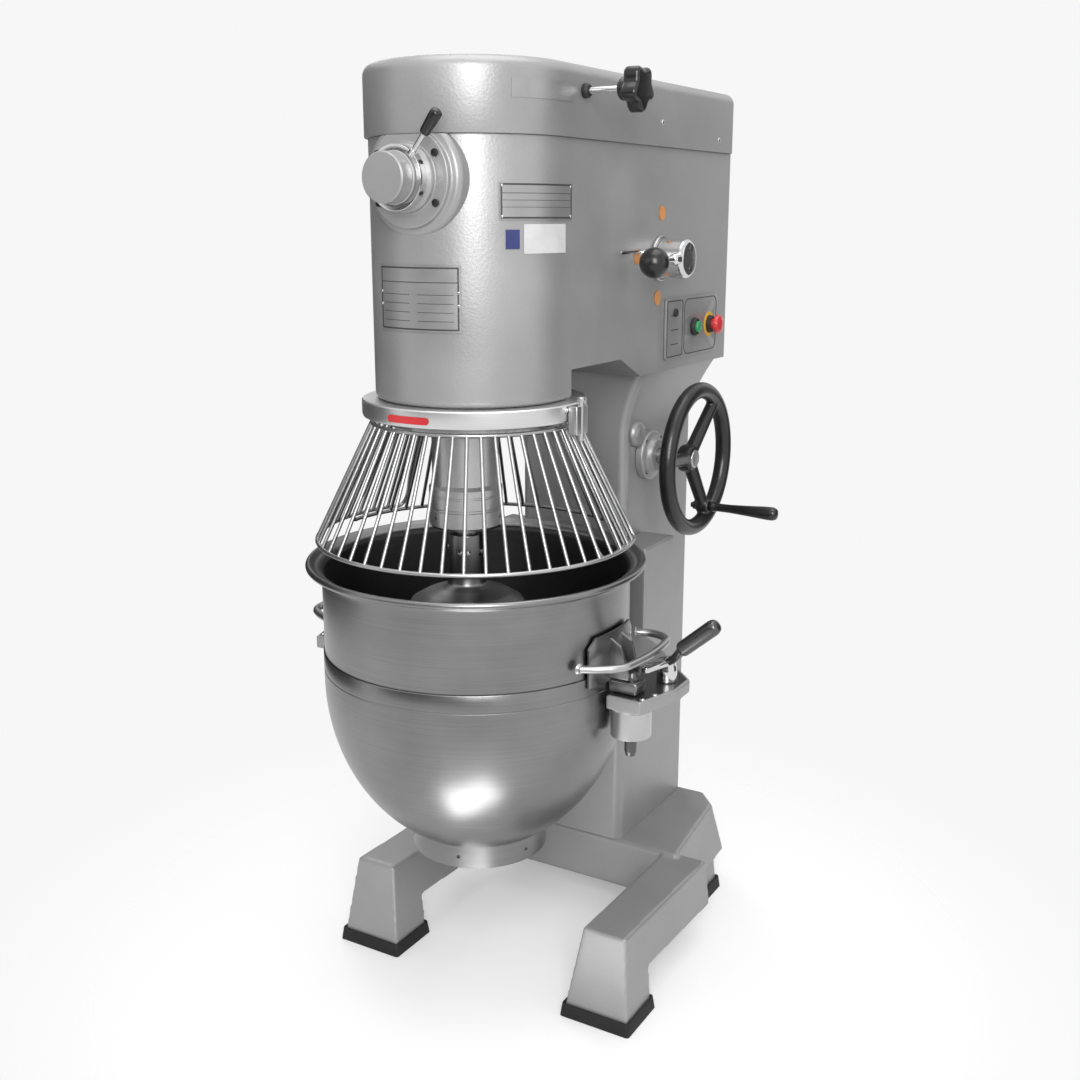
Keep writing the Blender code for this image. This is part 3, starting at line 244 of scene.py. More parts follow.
def bright_metal(name, level, rough, metallic=1.0):
    """Polished or plated metal with a trace of smudging."""
    finish = Finish(name)
    smudge = finish.grain(28.0, 4.0)
    pits = finish.grain(600.0, 2.0)
    finish.relief(pits, 0.00006, 0.5)
    pale = tuple(min(1.0, part * 1.12) for part in level)
    return finish.surface(base_color=finish.between(smudge, level, pale),
                          roughness=rough + smudge * 0.10, metallic=metallic)


def moulded(name, colour, rough, relief=0.00010, coat=0.0):
    """Moulded plastic, rubber or a printed label: fine texture and slight wear."""
    finish = Finish(name)
    skin = finish.grain(1400.0, 2.0)
    wear = finish.grain(22.0, 4.0)
    finish.relief(skin, relief, 0.5)
    pale = tuple(part * 1.25 + 0.004 for part in colour)
    return finish.surface(base_color=finish.between(wear, colour, pale),
                          roughness=rough + wear * 0.12, metallic=0.0, coat_weight=coat)


def cast_iron():
    """Bare, rough cast iron for the hidden castings."""
    finish = Finish("cast_iron")
    skin = finish.grain(260.0, 5.0)
    finish.relief(skin, 0.0005, 0.6)
    return finish.surface(base_color=finish.between(skin, grey(0.13), grey(0.19)),
                          roughness=0.55 + skin * 0.15, metallic=0.3)


SILVER = silver_paint()
STAINLESS = brushed_steel("stainless", grey(0.20), grey(0.32), 0.20, 26.0, 0.00010)
COLLAR_STEEL = brushed_steel("collar_steel", grey(0.66), grey(0.80), 0.24, 40.0, 0.00006)
# Painted shade: a much darker copy of the stainless for the bowl's inner faces, standing in for the shade
# inside the bowl.
PAINTED_SHADE_INSIDE = brushed_steel("bowl_painted_shade_inside", grey(0.07), grey(0.11), 0.34, 26.0, 0.00010)
TURNED = brushed_steel("turned_steel", grey(0.50), grey(0.62), 0.22, 40.0, 0.00006)
CHROME = bright_metal("chrome", grey(0.66), 0.08)
WIRE = bright_metal("wire_plating", grey(0.44), 0.30)
STEEL = bright_metal("machined_steel", grey(0.42), 0.28)
GRIP_STEEL = bright_metal("dark_steel", grey(0.12), 0.24, 0.9)
BRONZE = bright_metal("bronze", (0.50, 0.33, 0.16), 0.30)
PLATE = bright_metal("satin_plate", grey(0.36), 0.34, 0.6)
BLACK = moulded("black_plastic", grey(0.006), 0.24, coat=0.2)
WHEEL_BLACK = moulded("black_enamel", grey(0.008), 0.28, coat=0.2)
RUBBER = moulded("rubber", grey(0.008), 0.60, 0.0002)
SLOT_BLACK = moulded("slot_black", grey(0.012), 0.50)
GREEN = moulded("green_button", (0.03, 0.26, 0.10), 0.25, coat=0.3)
RED = moulded("red_button", (0.62, 0.035, 0.04), 0.22, coat=0.4)
YELLOW = moulded("yellow_ring", (0.72, 0.42, 0.03), 0.35)
WHITE = moulded("white_label", grey(0.58), 0.40)
BLUE = moulded("blue_label", (0.03, 0.04, 0.15), 0.35)
LABEL_RED = moulded("red_label", (0.55, 0.03, 0.035), 0.30)
ORANGE = moulded("orange_mark", (0.58, 0.24, 0.07), 0.40)
INK = moulded("dark_line", grey(0.045), 0.45)
WORN_STEEL = bright_metal("worn_steel", grey(0.20), 0.26)
IRON = cast_iron()


# --- drawing helpers -------------------------------------------------------------------------
def arc(radius, start, end, steps, centre=(0.0, 0.0)):
    """Points along a circle, start and end in degrees."""
    points = []
    for step in range(steps + 1):
        angle = math.radians(start + (end - start) * step / steps)
        points.append((centre[0] + radius * math.cos(angle), centre[1] + radius * math.sin(angle)))
    return points


def loft(rings, heights):
    """A solid through outlines with equal numbers of points, one above another."""
    mesh = bmesh.new()
    loops = []
    for outline, height in zip(rings, heights):
        corners = [mesh.verts.new((x, y, height)) for x, y in outline]
        loops.append(corners)
        for here, there in zip(corners, corners[1:] + corners[:1]):
            mesh.edges.new((here, there))
    for lower, upper in zip(loops, loops[1:]):
        edges = [edge for edge in mesh.edges
                 if all(corner in lower for corner in edge.verts)
                 or all(corner in upper for corner in edge.verts)]
        bmesh.ops.bridge_loops(mesh, edges=edges)
    mesh.faces.new(loops[0])
    mesh.faces.new(loops[-1])
    bmesh.ops.recalc_face_normals(mesh, faces=mesh.faces)
    return mesh


def prism(outline, low, high):
    """An outline in plan, extruded from low to high."""
    mesh = bmesh.new()
    face = mesh.faces.new([mesh.verts.new((x, y, low)) for x, y in outline])
    raised = bmesh.ops.extrude_face_region(mesh, geom=[face])
    tops = [item for item in raised["geom"] if isinstance(item, bmesh.types.BMVert)]
    bmesh.ops.translate(mesh, verts=tops, vec=(0, 0, high - low))
    bmesh.ops.recalc_face_normals(mesh, faces=mesh.faces)
    return mesh


def box(x0, x1, y0, y1, z0, z1):
    """A block between two corners, given axis by axis."""
    return prism([(x0, y0), (x1, y0), (x1, y1), (x0, y1)], z0, z1)


def laid_along_x(outline, low, high):
    """A (y, z) outline extruded along X from low to high."""
    mesh = prism(outline, low, high)
    for corner in mesh.verts:
        corner.co = (corner.co.z, corner.co.x, corner.co.y)
    bmesh.ops.recalc_face_normals(mesh, faces=mesh.faces)
    return mesh


def laid_along_y(outline, low, high):
    """An (x, z) outline extruded along Y from low to high."""
    mesh = prism(outline, low, high)
    for corner in mesh.verts:
        corner.co = (corner.co.x, corner.co.z, corner.co.y)
    bmesh.ops.recalc_face_normals(mesh, faces=mesh.faces)
    return mesh


def turned(profile, axis="Z", centre=(0, 0, 0), steps=ROUND, closed=False):
    """Spins (radius, height) points about an axis; a closed profile makes a ring."""
    mesh = bmesh.new()
    corners = [mesh.verts.new((radius, 0, height)) for radius, height in profile]
    edges = [mesh.edges.new(pair) for pair in zip(corners, corners[1:])]
    if closed:
        edges.append(mesh.edges.new((corners[-1], corners[0])))
    bmesh.ops.spin(mesh, geom=corners + edges, cent=(0, 0, 0), axis=(0, 0, 1),
                   angle=math.tau, steps=steps, use_merge=True)
    bmesh.ops.remove_doubles(mesh, verts=mesh.verts, dist=1e-6)
    bmesh.ops.dissolve_degenerate(mesh, edges=mesh.edges, dist=1e-7)
    turn = {"Z": Matrix.Identity(4),
            "X": Matrix.Rotation(math.pi / 2, 4, 'Y'),
            "Y": Matrix.Rotation(-math.pi / 2, 4, 'X')}[axis]
    bmesh.ops.transform(mesh, matrix=Matrix.Translation(centre) @ turn, verts=mesh.verts)
    bmesh.ops.recalc_face_normals(mesh, faces=mesh.faces)
    return mesh


def aimed(mesh, place, facing):
    """Turns a mesh's +Z to a direction, then moves the mesh to its place."""
    turn = Vector(facing).to_track_quat('Z', 'Y').to_matrix().to_4x4()
    bmesh.ops.transform(mesh, matrix=Matrix.Translation(place) @ turn, verts=mesh.verts)
    return mesh


def rod(radius, start, end, steps=24, end_radius=None):
    """A straight round bar between two points."""
    start, end = Vector(start), Vector(end)
    mesh = bmesh.new()
    bmesh.ops.create_cone(mesh, cap_ends=True, segments=steps, radius1=radius,
                          radius2=radius if end_radius is None else end_radius,
                          depth=(end - start).length)
    return aimed(mesh, (start + end) / 2, end - start)


def disc(radius, low, high, axis, centre=(0, 0), steps=SMALL):
    """A cylinder along X, Y or Z; centre is in the other two axes."""
    ends = {"X": ((low, *centre), (high, *centre)),
            "Y": ((centre[0], low, centre[1]), (centre[0], high, centre[1])),
            "Z": ((*centre, low), (*centre, high))}[axis]
    return rod(radius, *ends, steps=steps)


def from_object(obj):
    """The evaluated mesh of an object as a bmesh; the object is removed."""
    graph = bpy.context.evaluated_depsgraph_get()
    mesh = bmesh.new()
    data = bpy.data.meshes.new_from_object(obj.evaluated_get(graph))
    mesh.from_mesh(data)
    bpy.data.meshes.remove(data)
    bpy.data.objects.remove(obj)
    return mesh


def mesh_data(name, mesh):
    """Mesh data from a bmesh, which is used up."""
    data = bpy.data.meshes.new(name)
    mesh.to_mesh(data)
    mesh.free()
    return data


def linked(name, data):
    """A new object in the scene."""
    obj = bpy.data.objects.new(name, data)
    bpy.context.scene.collection.objects.link(obj)
    return obj


def as_object(mesh):
    """A working object for modifiers, from a bmesh that is used up."""
    return linked("work", mesh_data("work", mesh))


def tube(points, radius, cyclic=False, round_corners=True, sides=3):
    """A round bar bent through points."""
    curve = bpy.data.curves.new("work", 'CURVE')
    curve.dimensions = '3D'
    curve.bevel_depth = radius
    curve.bevel_resolution = sides
    curve.use_fill_caps = not cyclic
    curve.resolution_u = 8
    spline = curve.splines.new('BEZIER')
    spline.bezier_points.add(len(points) - 1)
    for knot, point in zip(spline.bezier_points, points):
        knot.co = point
        knot.handle_left_type = knot.handle_right_type = 'AUTO' if round_corners else 'VECTOR'
    spline.use_cyclic_u = cyclic
    mesh = from_object(linked("work", curve))
    bmesh.ops.remove_doubles(mesh, verts=mesh.verts, dist=1e-6)
    bmesh.ops.recalc_face_normals(mesh, faces=mesh.faces)
    return mesh


def carved(mesh, *cutters, operation='DIFFERENCE'):
    """The solid with each cutter taken away, or joined on."""
    target = as_object(mesh)
    others = [as_object(cutter) for cutter in cutters]
    for other in others:
        modifier = target.modifiers.new("carve", 'BOOLEAN')
        modifier.operation = operation
        modifier.solver = 'EXACT'
        modifier.object = other
    result = from_object(target)
    for other in others:
        bpy.data.objects.remove(other)
    bmesh.ops.remove_doubles(result, verts=result.verts, dist=2e-6)
    bmesh.ops.dissolve_degenerate(result, edges=result.edges, dist=2e-6)
    return result


def cast(mesh, grain, rounds):
    """A casting's skin: even facets of the grain's size with every edge rounded off."""
    obj = as_object(mesh)
    skin = obj.modifiers.new("skin", 'REMESH')
    skin.mode = 'VOXEL'
    skin.voxel_size = grain
    smooth = obj.modifiers.new("smooth", 'SMOOTH')
    smooth.factor = 0.5
    smooth.iterations = rounds
    return from_object(obj)


def rounded_edges(mesh, edges, width, segments, clamp=True):
    """Rounds the given edges; clamp keeps neighbouring roundings from meeting."""
    bmesh.ops.bevel(mesh, geom=edges, offset=width, offset_type='OFFSET', segments=segments,
                    profile=0.5, affect='EDGES', clamp_overlap=clamp, material=-1)


def softened(mesh, width, segments=3, angle=30.0):
    """Rounds every edge that turns by more than the angle."""
    sharp = [edge for edge in mesh.edges
             if len(edge.link_faces) == 2 and edge.calc_face_angle(0.0) > math.radians(angle)]
    rounded_edges(mesh, sharp, width, segments)
    return mesh


def end_face(mesh, pick):
    """The face that lies lowest (min) or highest (max)."""
    return pick(mesh.faces, key=lambda face: face.calc_center_median().z)


def joined(*meshes):
    """Several meshes as one; they stay separate shells."""
    first = meshes[0]
    for other in meshes[1:]:
        data = mesh_data("work", other)
        first.from_mesh(data)
        bpy.data.meshes.remove(data)
    return first


def mirrored(mesh, hand):
    """The right-hand shape, or its mirror image for the left."""
    if hand == "left":
        bmesh.ops.scale(mesh, vec=(-1, 1, 1), verts=mesh.verts)
        bmesh.ops.reverse_faces(mesh, faces=mesh.faces)
    return mesh


def piece(name, mesh, body, material, stands_for=(), smooth=32.0):
    """Moves a mesh to its place in the frame and makes it a piece that rides on a body."""
    bmesh.ops.translate(mesh, verts=mesh.verts, vec=(0, AXIS_Y, 0))
    data = mesh_data(name, mesh)
    data.shade_smooth()
    data.set_sharp_from_angle(angle=math.radians(smooth))
    data.materials.append(material)
    obj = linked(name, data)
    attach(obj, body)
    if stands_for:
        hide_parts(*stands_for)
    return obj


def u_outline(radius, back, corner, steps=72):
    """A plan with a half-round nose at the front and rounded rear corners."""
    outline = arc(radius, -180, 0, steps)
    outline += arc(corner, 0, 90, 6, (radius - corner, back - corner))
    outline += arc(corner, 90, 180, 6, (corner - radius, back - corner))
    return outline


def rounded_outline(x0, y0, x1, y1, corner, steps=8):
    """A rectangle's plan with its four corners rounded."""
    outline = arc(corner, 180, 270, steps, (x0 + corner, y0 + corner))
    outline += arc(corner, 270, 360, steps, (x1 - corner, y0 + corner))
    outline += arc(corner, 0, 90, steps, (x1 - corner, y1 - corner))
    outline += arc(corner, 90, 180, steps, (x0 + corner, y1 - corner))
    return outline


def fillet_profile(points, radius, steps=4):
    """A (radius, height) profile with its inner corners rounded."""
    rounded = [points[0]]
    for before, corner, after in zip(points, points[1:], points[2:]):
        here = Vector(corner)
        way_in, way_out = Vector(before) - here, Vector(after) - here
        reach = min(radius, way_in.length * 0.45, way_out.length * 0.45)
        start, end = here + way_in.normalized() * reach, here + way_out.normalized() * reach
        for step in range(steps + 1):
            share = step / steps
            point = start.lerp(here, share).lerp(here.lerp(end, share), share)
            rounded.append(tuple(point))
    rounded.append(points[-1])
    return rounded


def screw_head(radius, height, place, facing):
    """A domed screw head; facing is the direction that it looks."""
    dome = turned(fillet_profile([(0, 0), (radius, 0), (radius, height * 0.5), (radius * 0.6, height),
                                  (0, height)], radius * 0.3), steps=20)
    return aimed(dome, place, facing)


# --- base and column -------------------------------------------------------------------------
def front_leg(hand):
    """A drafted leg from its foot up and back into the casting."""
    foot_z, top_z = BASE_LOW.z, BASE_HIGH.z
    profile = [(-0.016, foot_z), (0.080, foot_z), (0.084, 0.078), (0.352, 0.066),
               (0.352, BASE_TOP - 0.006), (0.010, top_z)]
    mesh = bmesh.new()
    inner = [mesh.verts.new((0.205 - 0.150 * (top_z - z), y, z)) for y, z in profile]
    outer = [mesh.verts.new((0.288 + 0.115 * (top_z - z), y, z)) for y, z in profile]
    mesh.faces.new(inner)
    mesh.faces.new(outer)
    for index in range(len(profile)):
        after = (index + 1) % len(profile)
        mesh.faces.new((inner[index], inner[after], outer[after], outer[index]))
    bmesh.ops.recalc_face_normals(mesh, faces=mesh.faces)
    return mirrored(mesh, hand)


def base():
    """The foot casting: a broad block with two drafted legs forward and two short feet behind."""
    half_top = [(0.234, 0.330), (0.205, 0.575), (0.165, 0.620)]
    half_low = [(0.250, 0.330), (0.232, 0.580), (0.180, 0.625)]
    rings = [half + [(-x, y) for x, y in reversed(half)] for half in (half_low, half_top)]
    solid = loft(rings, (0.062, BASE_TOP))
    parts = []
    for hand in HANDS:
        parts.append(front_leg(hand))
        foot = [(0.1405, 0.4475), (0.2375, 0.4475), (0.2375, 0.5345), (0.1405, 0.5345)]
        top = [(0.120, 0.430), (0.216, 0.430), (0.205, 0.570), (0.120, 0.570)]
        parts.append(mirrored(loft((foot, top), (BASE_LOW.z, BASE_TOP - 0.030)), hand))
    solid = carved(solid, *parts, operation='UNION')
    skin = cast(solid, 0.0034, 6)
    piece("base_casting_skin", skin, "frame", SILVER, ("base_casting",), 80)


def pads():
    """Rubber boots, each with a pocket that the casting's foot stands in."""
    for node in ("front_pad_right", "front_pad_left", "rear_pad_right", "rear_pad_left"):
        low, high = span(node)
        rim = 0.0065
        rings = [rounded_outline(low.x, low.y, high.x, high.y, 0.006),
                 rounded_outline(low.x + 0.003, low.y + 0.003, high.x - 0.003, high.y - 0.003, 0.006)]
        boot = loft(rings, (low.z, high.z))
        pocket = box(low.x + rim, high.x - rim, low.y + rim, high.y - rim, high.z - 0.0105, high.z + 0.01)
        boot = softened(carved(boot, pocket), 0.0012, 2)
        piece(node + "_boot", boot, "frame", RUBBER, (node,))


def column():
    """The hollow column, flared at the top to meet the head, and the cable gland low on its back."""
    post = rounded_outline(-COLUMN_HALF, COLUMN_FRONT, COLUMN_HALF, COLUMN_BACK, 0.018)
    flare_low = FLARE_START - 0.020
    rings, heights = [post, post], [COLUMN_LOW.z, flare_low]
    steps = 8
    for step in range(1, steps + 1):
        share = step / steps
        ease = share ** 1.5
        wide = COLUMN_HALF + (COLUMN_HIGH.x - COLUMN_HALF) * ease
        back = COLUMN_BACK + (COLUMN_HIGH.y - COLUMN_BACK) * ease
        rings.append(rounded_outline(-wide, COLUMN_FRONT, wide, back, 0.018))
        heights.append(flare_low + (COLUMN_HIGH.z - flare_low) * share)
    wall = 0.014
    bore = box(wall - COLUMN_HALF, COLUMN_HALF - wall, COLUMN_FRONT + wall, COLUMN_BACK - wall, 0.1, 1.2)
    slot = box(-0.028, 0.028, COLUMN_FRONT - 0.02, COLUMN_FRONT + wall + 0.01, 0.410, 0.720)
    shaft = disc(0.0152, 0.08, 0.14, "X", (WHEEL_Y, WHEEL_Z))
    shell = carved(loft(rings, heights), bore, slot, shaft)
    piece("column_shell", shell, "frame", SILVER, ("column",), 40)
    low, high = span("cable_gland")
    spot = ((low.x + high.x) / 2, low.y, (low.z + high.z) / 2)
    ribs = [(0.0062, 0.0), (0.0200, 0.0), (0.0200, 0.006), (0.0150, 0.006)]
    for ridge in range(4):
        height = 0.0075 + ridge * 0.0036
        ribs += [(0.0150 - ridge * 0.0008, height), (0.0132 - ridge * 0.0008, height + 0.0014)]
    ribs += [(0.0100, 0.0220), (0.0062, 0.0220)]
    gland = turned(ribs, "Y", spot, SMALL, closed=True)
    piece("gland_body", gland, "frame", BLACK, ("cable_gland",))


# --- head ------------------------------------------------------------------------------------
def head():
    """The head casting: a nose over the bowl, a notch under its middle, and hollow inside."""
    shell = prism(u_outline(HEAD_RADIUS, HEAD_BACK, 0.012), HEAD_NOSE, HEAD_SEAM)
    nose_rounding = 0.011
    rounded_edges(shell, list(end_face(shell, min).edges), nose_rounding, 6, clamp=False)
    below, far = HEAD_NOSE - 0.02, HEAD_BACK + 0.1
    profile = [(NOTCH_START, below), (far, below), (far, REAR_Z), (NOTCH_END, REAR_Z),
               (NOTCH_SLOPE, NOTCH_Z), (NOTCH_START, NOTCH_Z)]
    notch = laid_along_x(profile, -0.3, 0.3)
    keep = disc(HEAD_RADIUS - 0.006, below - 0.01, NOTCH_Z + 0.02, "Z", steps=144)
    shell = softened(carved(shell, carved(notch, keep)), 0.0040, 4, 35.0)
    half = HEAD_RADIUS - HEAD_WALL
    upper = prism(u_outline(half, HEAD_BACK - HEAD_WALL, 0.006, 48), NOTCH_Z + HEAD_WALL, HEAD_SEAM + 0.02)
    nose = disc(half - 0.006, HEAD_NOSE + 0.012, NOTCH_Z + HEAD_WALL + 0.01, "Z", steps=64)
    rear = box(-half + 0.002, half - 0.002, NOTCH_END + 0.008, HEAD_BACK - HEAD_WALL - 0.002,
               REAR_Z + HEAD_WALL, NOTCH_Z + HEAD_WALL + 0.014)
    shaft = disc(0.0227, below, HEAD_NOSE + 0.05, "Z")
    hub = disc(0.0165, -0.20, -0.10, "Y", (0, HUB_Z))
    screw = box(-0.09, 0.09, 0.350, 0.395, below, NOTCH_Z + 0.03)
    shell = carved(shell, upper, nose, rear, shaft, hub, screw)
    piece("head_shell", shell, "frame", SILVER, ("head_housing",), 38)


def cover():
    """The lid over the head, with its screws."""
    low, high = COVER_LOW.z, COVER_HIGH.z
    top_rounding, foot_rounding = 0.019, 0.0016
    dome = prism(u_outline(COVER_RADIUS, HEAD_BACK, 0.021), low, high)
    rounded_edges(dome, list(end_face(dome, max).edges), top_rounding, 8, clamp=False)
    rounded_edges(dome, list(end_face(dome, min).edges), foot_rounding, 2)
    inner = prism(u_outline(COVER_RADIUS - 0.007, HEAD_BACK - 0.007, 0.008, 48), low - 0.01, high - 0.010)
    stem = disc(0.0066, 0.14, 0.19, "X", (KNOB_Y, KNOB_Z))
    piece("cover_shell", carved(dome, inner, stem), "frame", SILVER, ("top_cover",), 38)
    x = COVER_RADIUS - 0.0004
    screws = [screw_head(0.0048, 0.0022, (hand * x, y, z), (hand, 0, 0))
              for hand in (-1, 1) for y, z in ((0.343, 1.518), (0.590, 1.500))]
    piece("cover_screws", joined(*screws), "frame", CHROME)


def rear_cover():
    """The rear access panel with six slots."""
    low, high = span("rear_panel")
    plate = laid_along_y(rounded_outline(low.x, low.z, high.x, high.z, 0.010), low.y, high.y)
    front, behind = low.y - 0.02, high.y + 0.02
    half, end_radius = 0.075, 0.005
    slots = []
    for row in range(6):
        z = low.z + 0.105 + row * 0.028
        slots += [disc(end_radius, front, behind, "Y", (x, z), 16) for x in (-half, half)]
        slots.append(box(-half, half, front, behind, z - end_radius, z + end_radius))
    plate = softened(carved(plate, *slots), 0.0004, 1, 60)
    piece("rear_plate", plate, "frame", SILVER, ("rear_panel",))
    screws = [screw_head(0.0045, 0.0020, (x, high.y, z), (0, 1, 0))
              for x in (low.x + 0.014, high.x - 0.014) for z in (low.z + 0.014, high.z - 0.014)]
    piece("rear_screws", joined(*screws), "frame", CHROME)


def collar():
    """The drip ring under the nose, and the block that stops the guard."""
    low, high = COLLAR_LOW.z, COLLAR_HIGH.z
    bore, radius = COLLAR_BORE, COLLAR_RADIUS
    profile = [(bore, high), (bore, low + 0.004), (bore + 0.004, low), (radius - 0.006, low),
               (radius - 0.0015, low + 0.002), (radius, low + 0.006), (radius, high - 0.002),
               (radius - 0.002, high)]
    piece("drip_ring", turned(profile, steps=160, closed=True), "frame", COLLAR_STEEL,
          ("drip_collar",), 25)
    low, high = span("guard_bracket")
    block = softened(box(low.x, 0.200, low.y, high.y, 1.030, 1.076), 0.002, 3)
    post = turned(fillet_profile([(0, 1.020), (0.005, 1.020), (0.005, 1.082), (0.0065, 1.084),
                                  (0.0065, 1.089), (0, 1.090)], 0.001), "Z", (0.197, 0.002, 0), SMALL)
    piece("bracket_block", joined(block, post), "frame", TURNED, ("guard_bracket",))
    turn = math.radians(-5.6)
    ray = Vector((math.cos(turn), math.sin(turn), 0))
    head = screw_head(0.0042, 0.0024, ray * (COLLAR_RADIUS - 0.0002) + Vector((0, 0, 1.069)), ray)
    piece("collar_screw", head, "frame", CHROME)


def guard_point(share, inset, angle):
    """A point on the guard's cone; share runs from the top (0) to the bottom (1)."""
    run, drop = GUARD_LOW_R - GUARD_TOP_R, GUARD_TOP_Z - GUARD_LOW_Z
    length = math.hypot(run, drop)
    radius = GUARD_TOP_R + run * share - inset * drop / length
    turn = math.radians(angle)
    height = GUARD_TOP_Z - drop * share - inset * run / length
    return (radius * math.cos(turn), radius * math.sin(turn), height)


def guard_section(name, node, body, start, end, count, inset):
    """A border wire bent round the section, with straight wires welded inside it."""
    around, corner = 60, 1.6
    sweep = end - start - 2 * corner
    side = (0.06, 0.35, 0.65, 0.955)
    steps = range(around + 1)
    upper = [guard_point(0.02, inset, start + corner + sweep * k / around) for k in steps]
    lower = [guard_point(0.985, inset, end - corner - sweep * k / around) for k in steps]
    border = upper + [guard_point(share, inset, end) for share in side]
    border += lower + [guard_point(share, inset, start) for share in reversed(side)]
    mesh = tube(border, GUARD_WIRE * 1.15, cyclic=True, sides=3)
    for index in range(1, count - 1):
        angle = start + (end - start) * index / (count - 1)
        wire = rod(GUARD_WIRE, guard_point(0.012, inset, angle), guard_point(0.984, inset, angle), 12)
        mesh = joined(mesh, wire)
    piece(name, mesh, body, WIRE, (node,), 50)


def guard():
    """The front section swings outside the rear one, which is fixed."""
    guard_section("guard_cage_front", "guard_front", "guard", -206.0, 26.2, 33, 0.0)
    guard_section("guard_cage_rear", "guard_rear", "frame", -6.0, 183.2, 27, GUARD_INSET)


# --- plates and labels -----------------------------------------------------------------------
def rolled_plate(start, end, low, high, lift, thick, flat_to=None, steps=24):
    """A thin plate that follows the nose, and runs on along the flat side if it reaches it."""
    inner = arc(HEAD_RADIUS + lift, start, end, steps)
    outer = arc(HEAD_RADIUS + lift + thick, end, start, steps)
    if flat_to is not None:
        inner.append((HEAD_RADIUS + lift, flat_to))
        outer.insert(0, (HEAD_RADIUS + lift + thick, flat_to))
    return prism(inner + outer, low, high)


def rule(start, end, z, width=0.0008, flat_to=None, steps=24):
    """A thin dark line along a rolled plate."""
    return rolled_plate(start, end, z, z + width, LINE_LIFT, LINE_THICK, flat_to, steps)


def bent_label(start, end, low, high, radius, thick=0.0007, steps=20):
    """A thin label with round ends, bent round the collar."""
    wide = radius * math.radians(end - start)
    mesh = prism(rounded_outline(0, low, wide, high, (high - low) * 0.48, 8), 0, thick)
    for step in range(1, steps):
        whole = mesh.verts[:] + mesh.edges[:] + mesh.faces[:]
        bmesh.ops.bisect_plane(mesh, geom=whole, plane_co=(wide * step / steps, 0, 0), plane_no=(1, 0, 0))
    for corner in mesh.verts:
        turn = math.radians(start) + corner.co.x / radius
        reach = radius + corner.co.z
        corner.co = (reach * math.cos(turn), reach * math.sin(turn), corner.co.y)
    bmesh.ops.recalc_face_normals(mesh, faces=mesh.faces)
    return mesh


def plate_border(start, end, low, high, inset, width, flat_to=None):
    """Four thin strips that frame a rolled plate."""
    turn = math.degrees(inset / HEAD_RADIUS)
    thin = math.degrees(width / HEAD_RADIUS)
    across = flat_to - inset if flat_to is not None else None
    right = end if flat_to is not None else end - turn
    foot, tall = low + inset, high - low - 2 * inset
    rows = [rule(start + turn, right, z, width, across) for z in (foot, foot + tall - width)]
    rows.append(rule(start + turn, start + turn + thin, foot, tall, steps=2))
    if flat_to is None:
        rows.append(rule(right - thin, right, foot, tall, steps=2))
    else:
        face = HEAD_RADIUS + LINE_LIFT
        rows.append(box(face, face + LINE_THICK, across - width, across, foot, foot + tall))
    return joined(*rows)


def nose_rivet(angle, z, flat_y=0.0):
    """A small rivet round the nose at an angle, or at flat_y on the flat side."""
    turn = math.radians(angle)
    ray = Vector((math.cos(turn), math.sin(turn), 0))
    place = ray * (HEAD_RADIUS + RIVET_LIFT) + Vector((0, flat_y, z))
    return screw_head(0.0021, 0.0014, place, ray)


def plates():
    """The two metal plates with their lines and rivets, and the plain labels."""
    low, high = span("front_plate")
    start, end = -117.0, -63.0
    plate = softened(rolled_plate(start, end, low.z, high.z, PLATE_LIFT, PLATE_THICK), 0.0003, 1, 50)
    piece("nose_plate", plate, "frame", PLATE, ("front_plate",))
    border = joined(plate_border(start, end, low.z, high.z, 0.0030, 0.0024),
                    rule(start + 2.0, end - 2.0, high.z - 0.026, 0.0012))
    for row in range(4):
        z = low.z + 0.016 + row * 0.013
        for left, right in ((start + 4, start + 24), (start + 29, end - 4)):
            border = joined(border, rule(left, right, z, steps=8))
    piece("nose_plate_lines", border, "frame", INK)
    rivets = [nose_rivet(angle, z) for angle in (start + 1.4, end - 1.4)
              for z in (low.z + 0.040, high.z - 0.040)]
    low, high = span("side_plate")
    start, flat_end = -42.5, 0.032
    plate = rolled_plate(start, 0.0, low.z, high.z, PLATE_LIFT, PLATE_THICK, flat_end)
    piece("flank_plate", softened(plate, 0.0003, 1, 50), "frame", PLATE, ("side_plate",))
    border = plate_border(start, 0.0, low.z, high.z, 0.0018, 0.0026, flat_end)
    for z, width in ((high.z - 0.016, 0.0008), (low.z + 0.018, 0.0006), (low.z + 0.028, 0.0006)):
        border = joined(border, rule(start + 1.5, 0.0, z, width, flat_end - 0.003))
    piece("flank_plate_lines", border, "frame", INK)
    rivets += [nose_rivet(start + 1.5, z) for z in (low.z + 0.005, high.z - 0.005)]
    rivets += [nose_rivet(0, z, flat_end - 0.005) for z in (low.z + 0.005, high.z - 0.005)]
    piece("plate_rivets", joined(*rivets), "frame", CHROME)
    tag = rolled_plate(-28.5, 0.0, 1.308, 1.351, 0.0006, 0.0005, 0.014)
    piece("white_tag", tag, "frame", WHITE)
    piece("blue_tag", rolled_plate(-39.0, -31.0, 1.315, 1.343, 0.0006, 0.0005, steps=6), "frame", BLUE)
    lift = COVER_RADIUS - HEAD_RADIUS + 0.0003
    piece("cover_tag", rolled_plate(-36.0, 0.0, 1.5285, 1.5550, lift, 0.0006, 0.028), "frame", PLATE)
    strip = bent_label(-103.5, -79.0, 1.0560, 1.0672, COLLAR_RADIUS + 0.0003)
    piece("red_tag", strip, "frame", LABEL_RED)


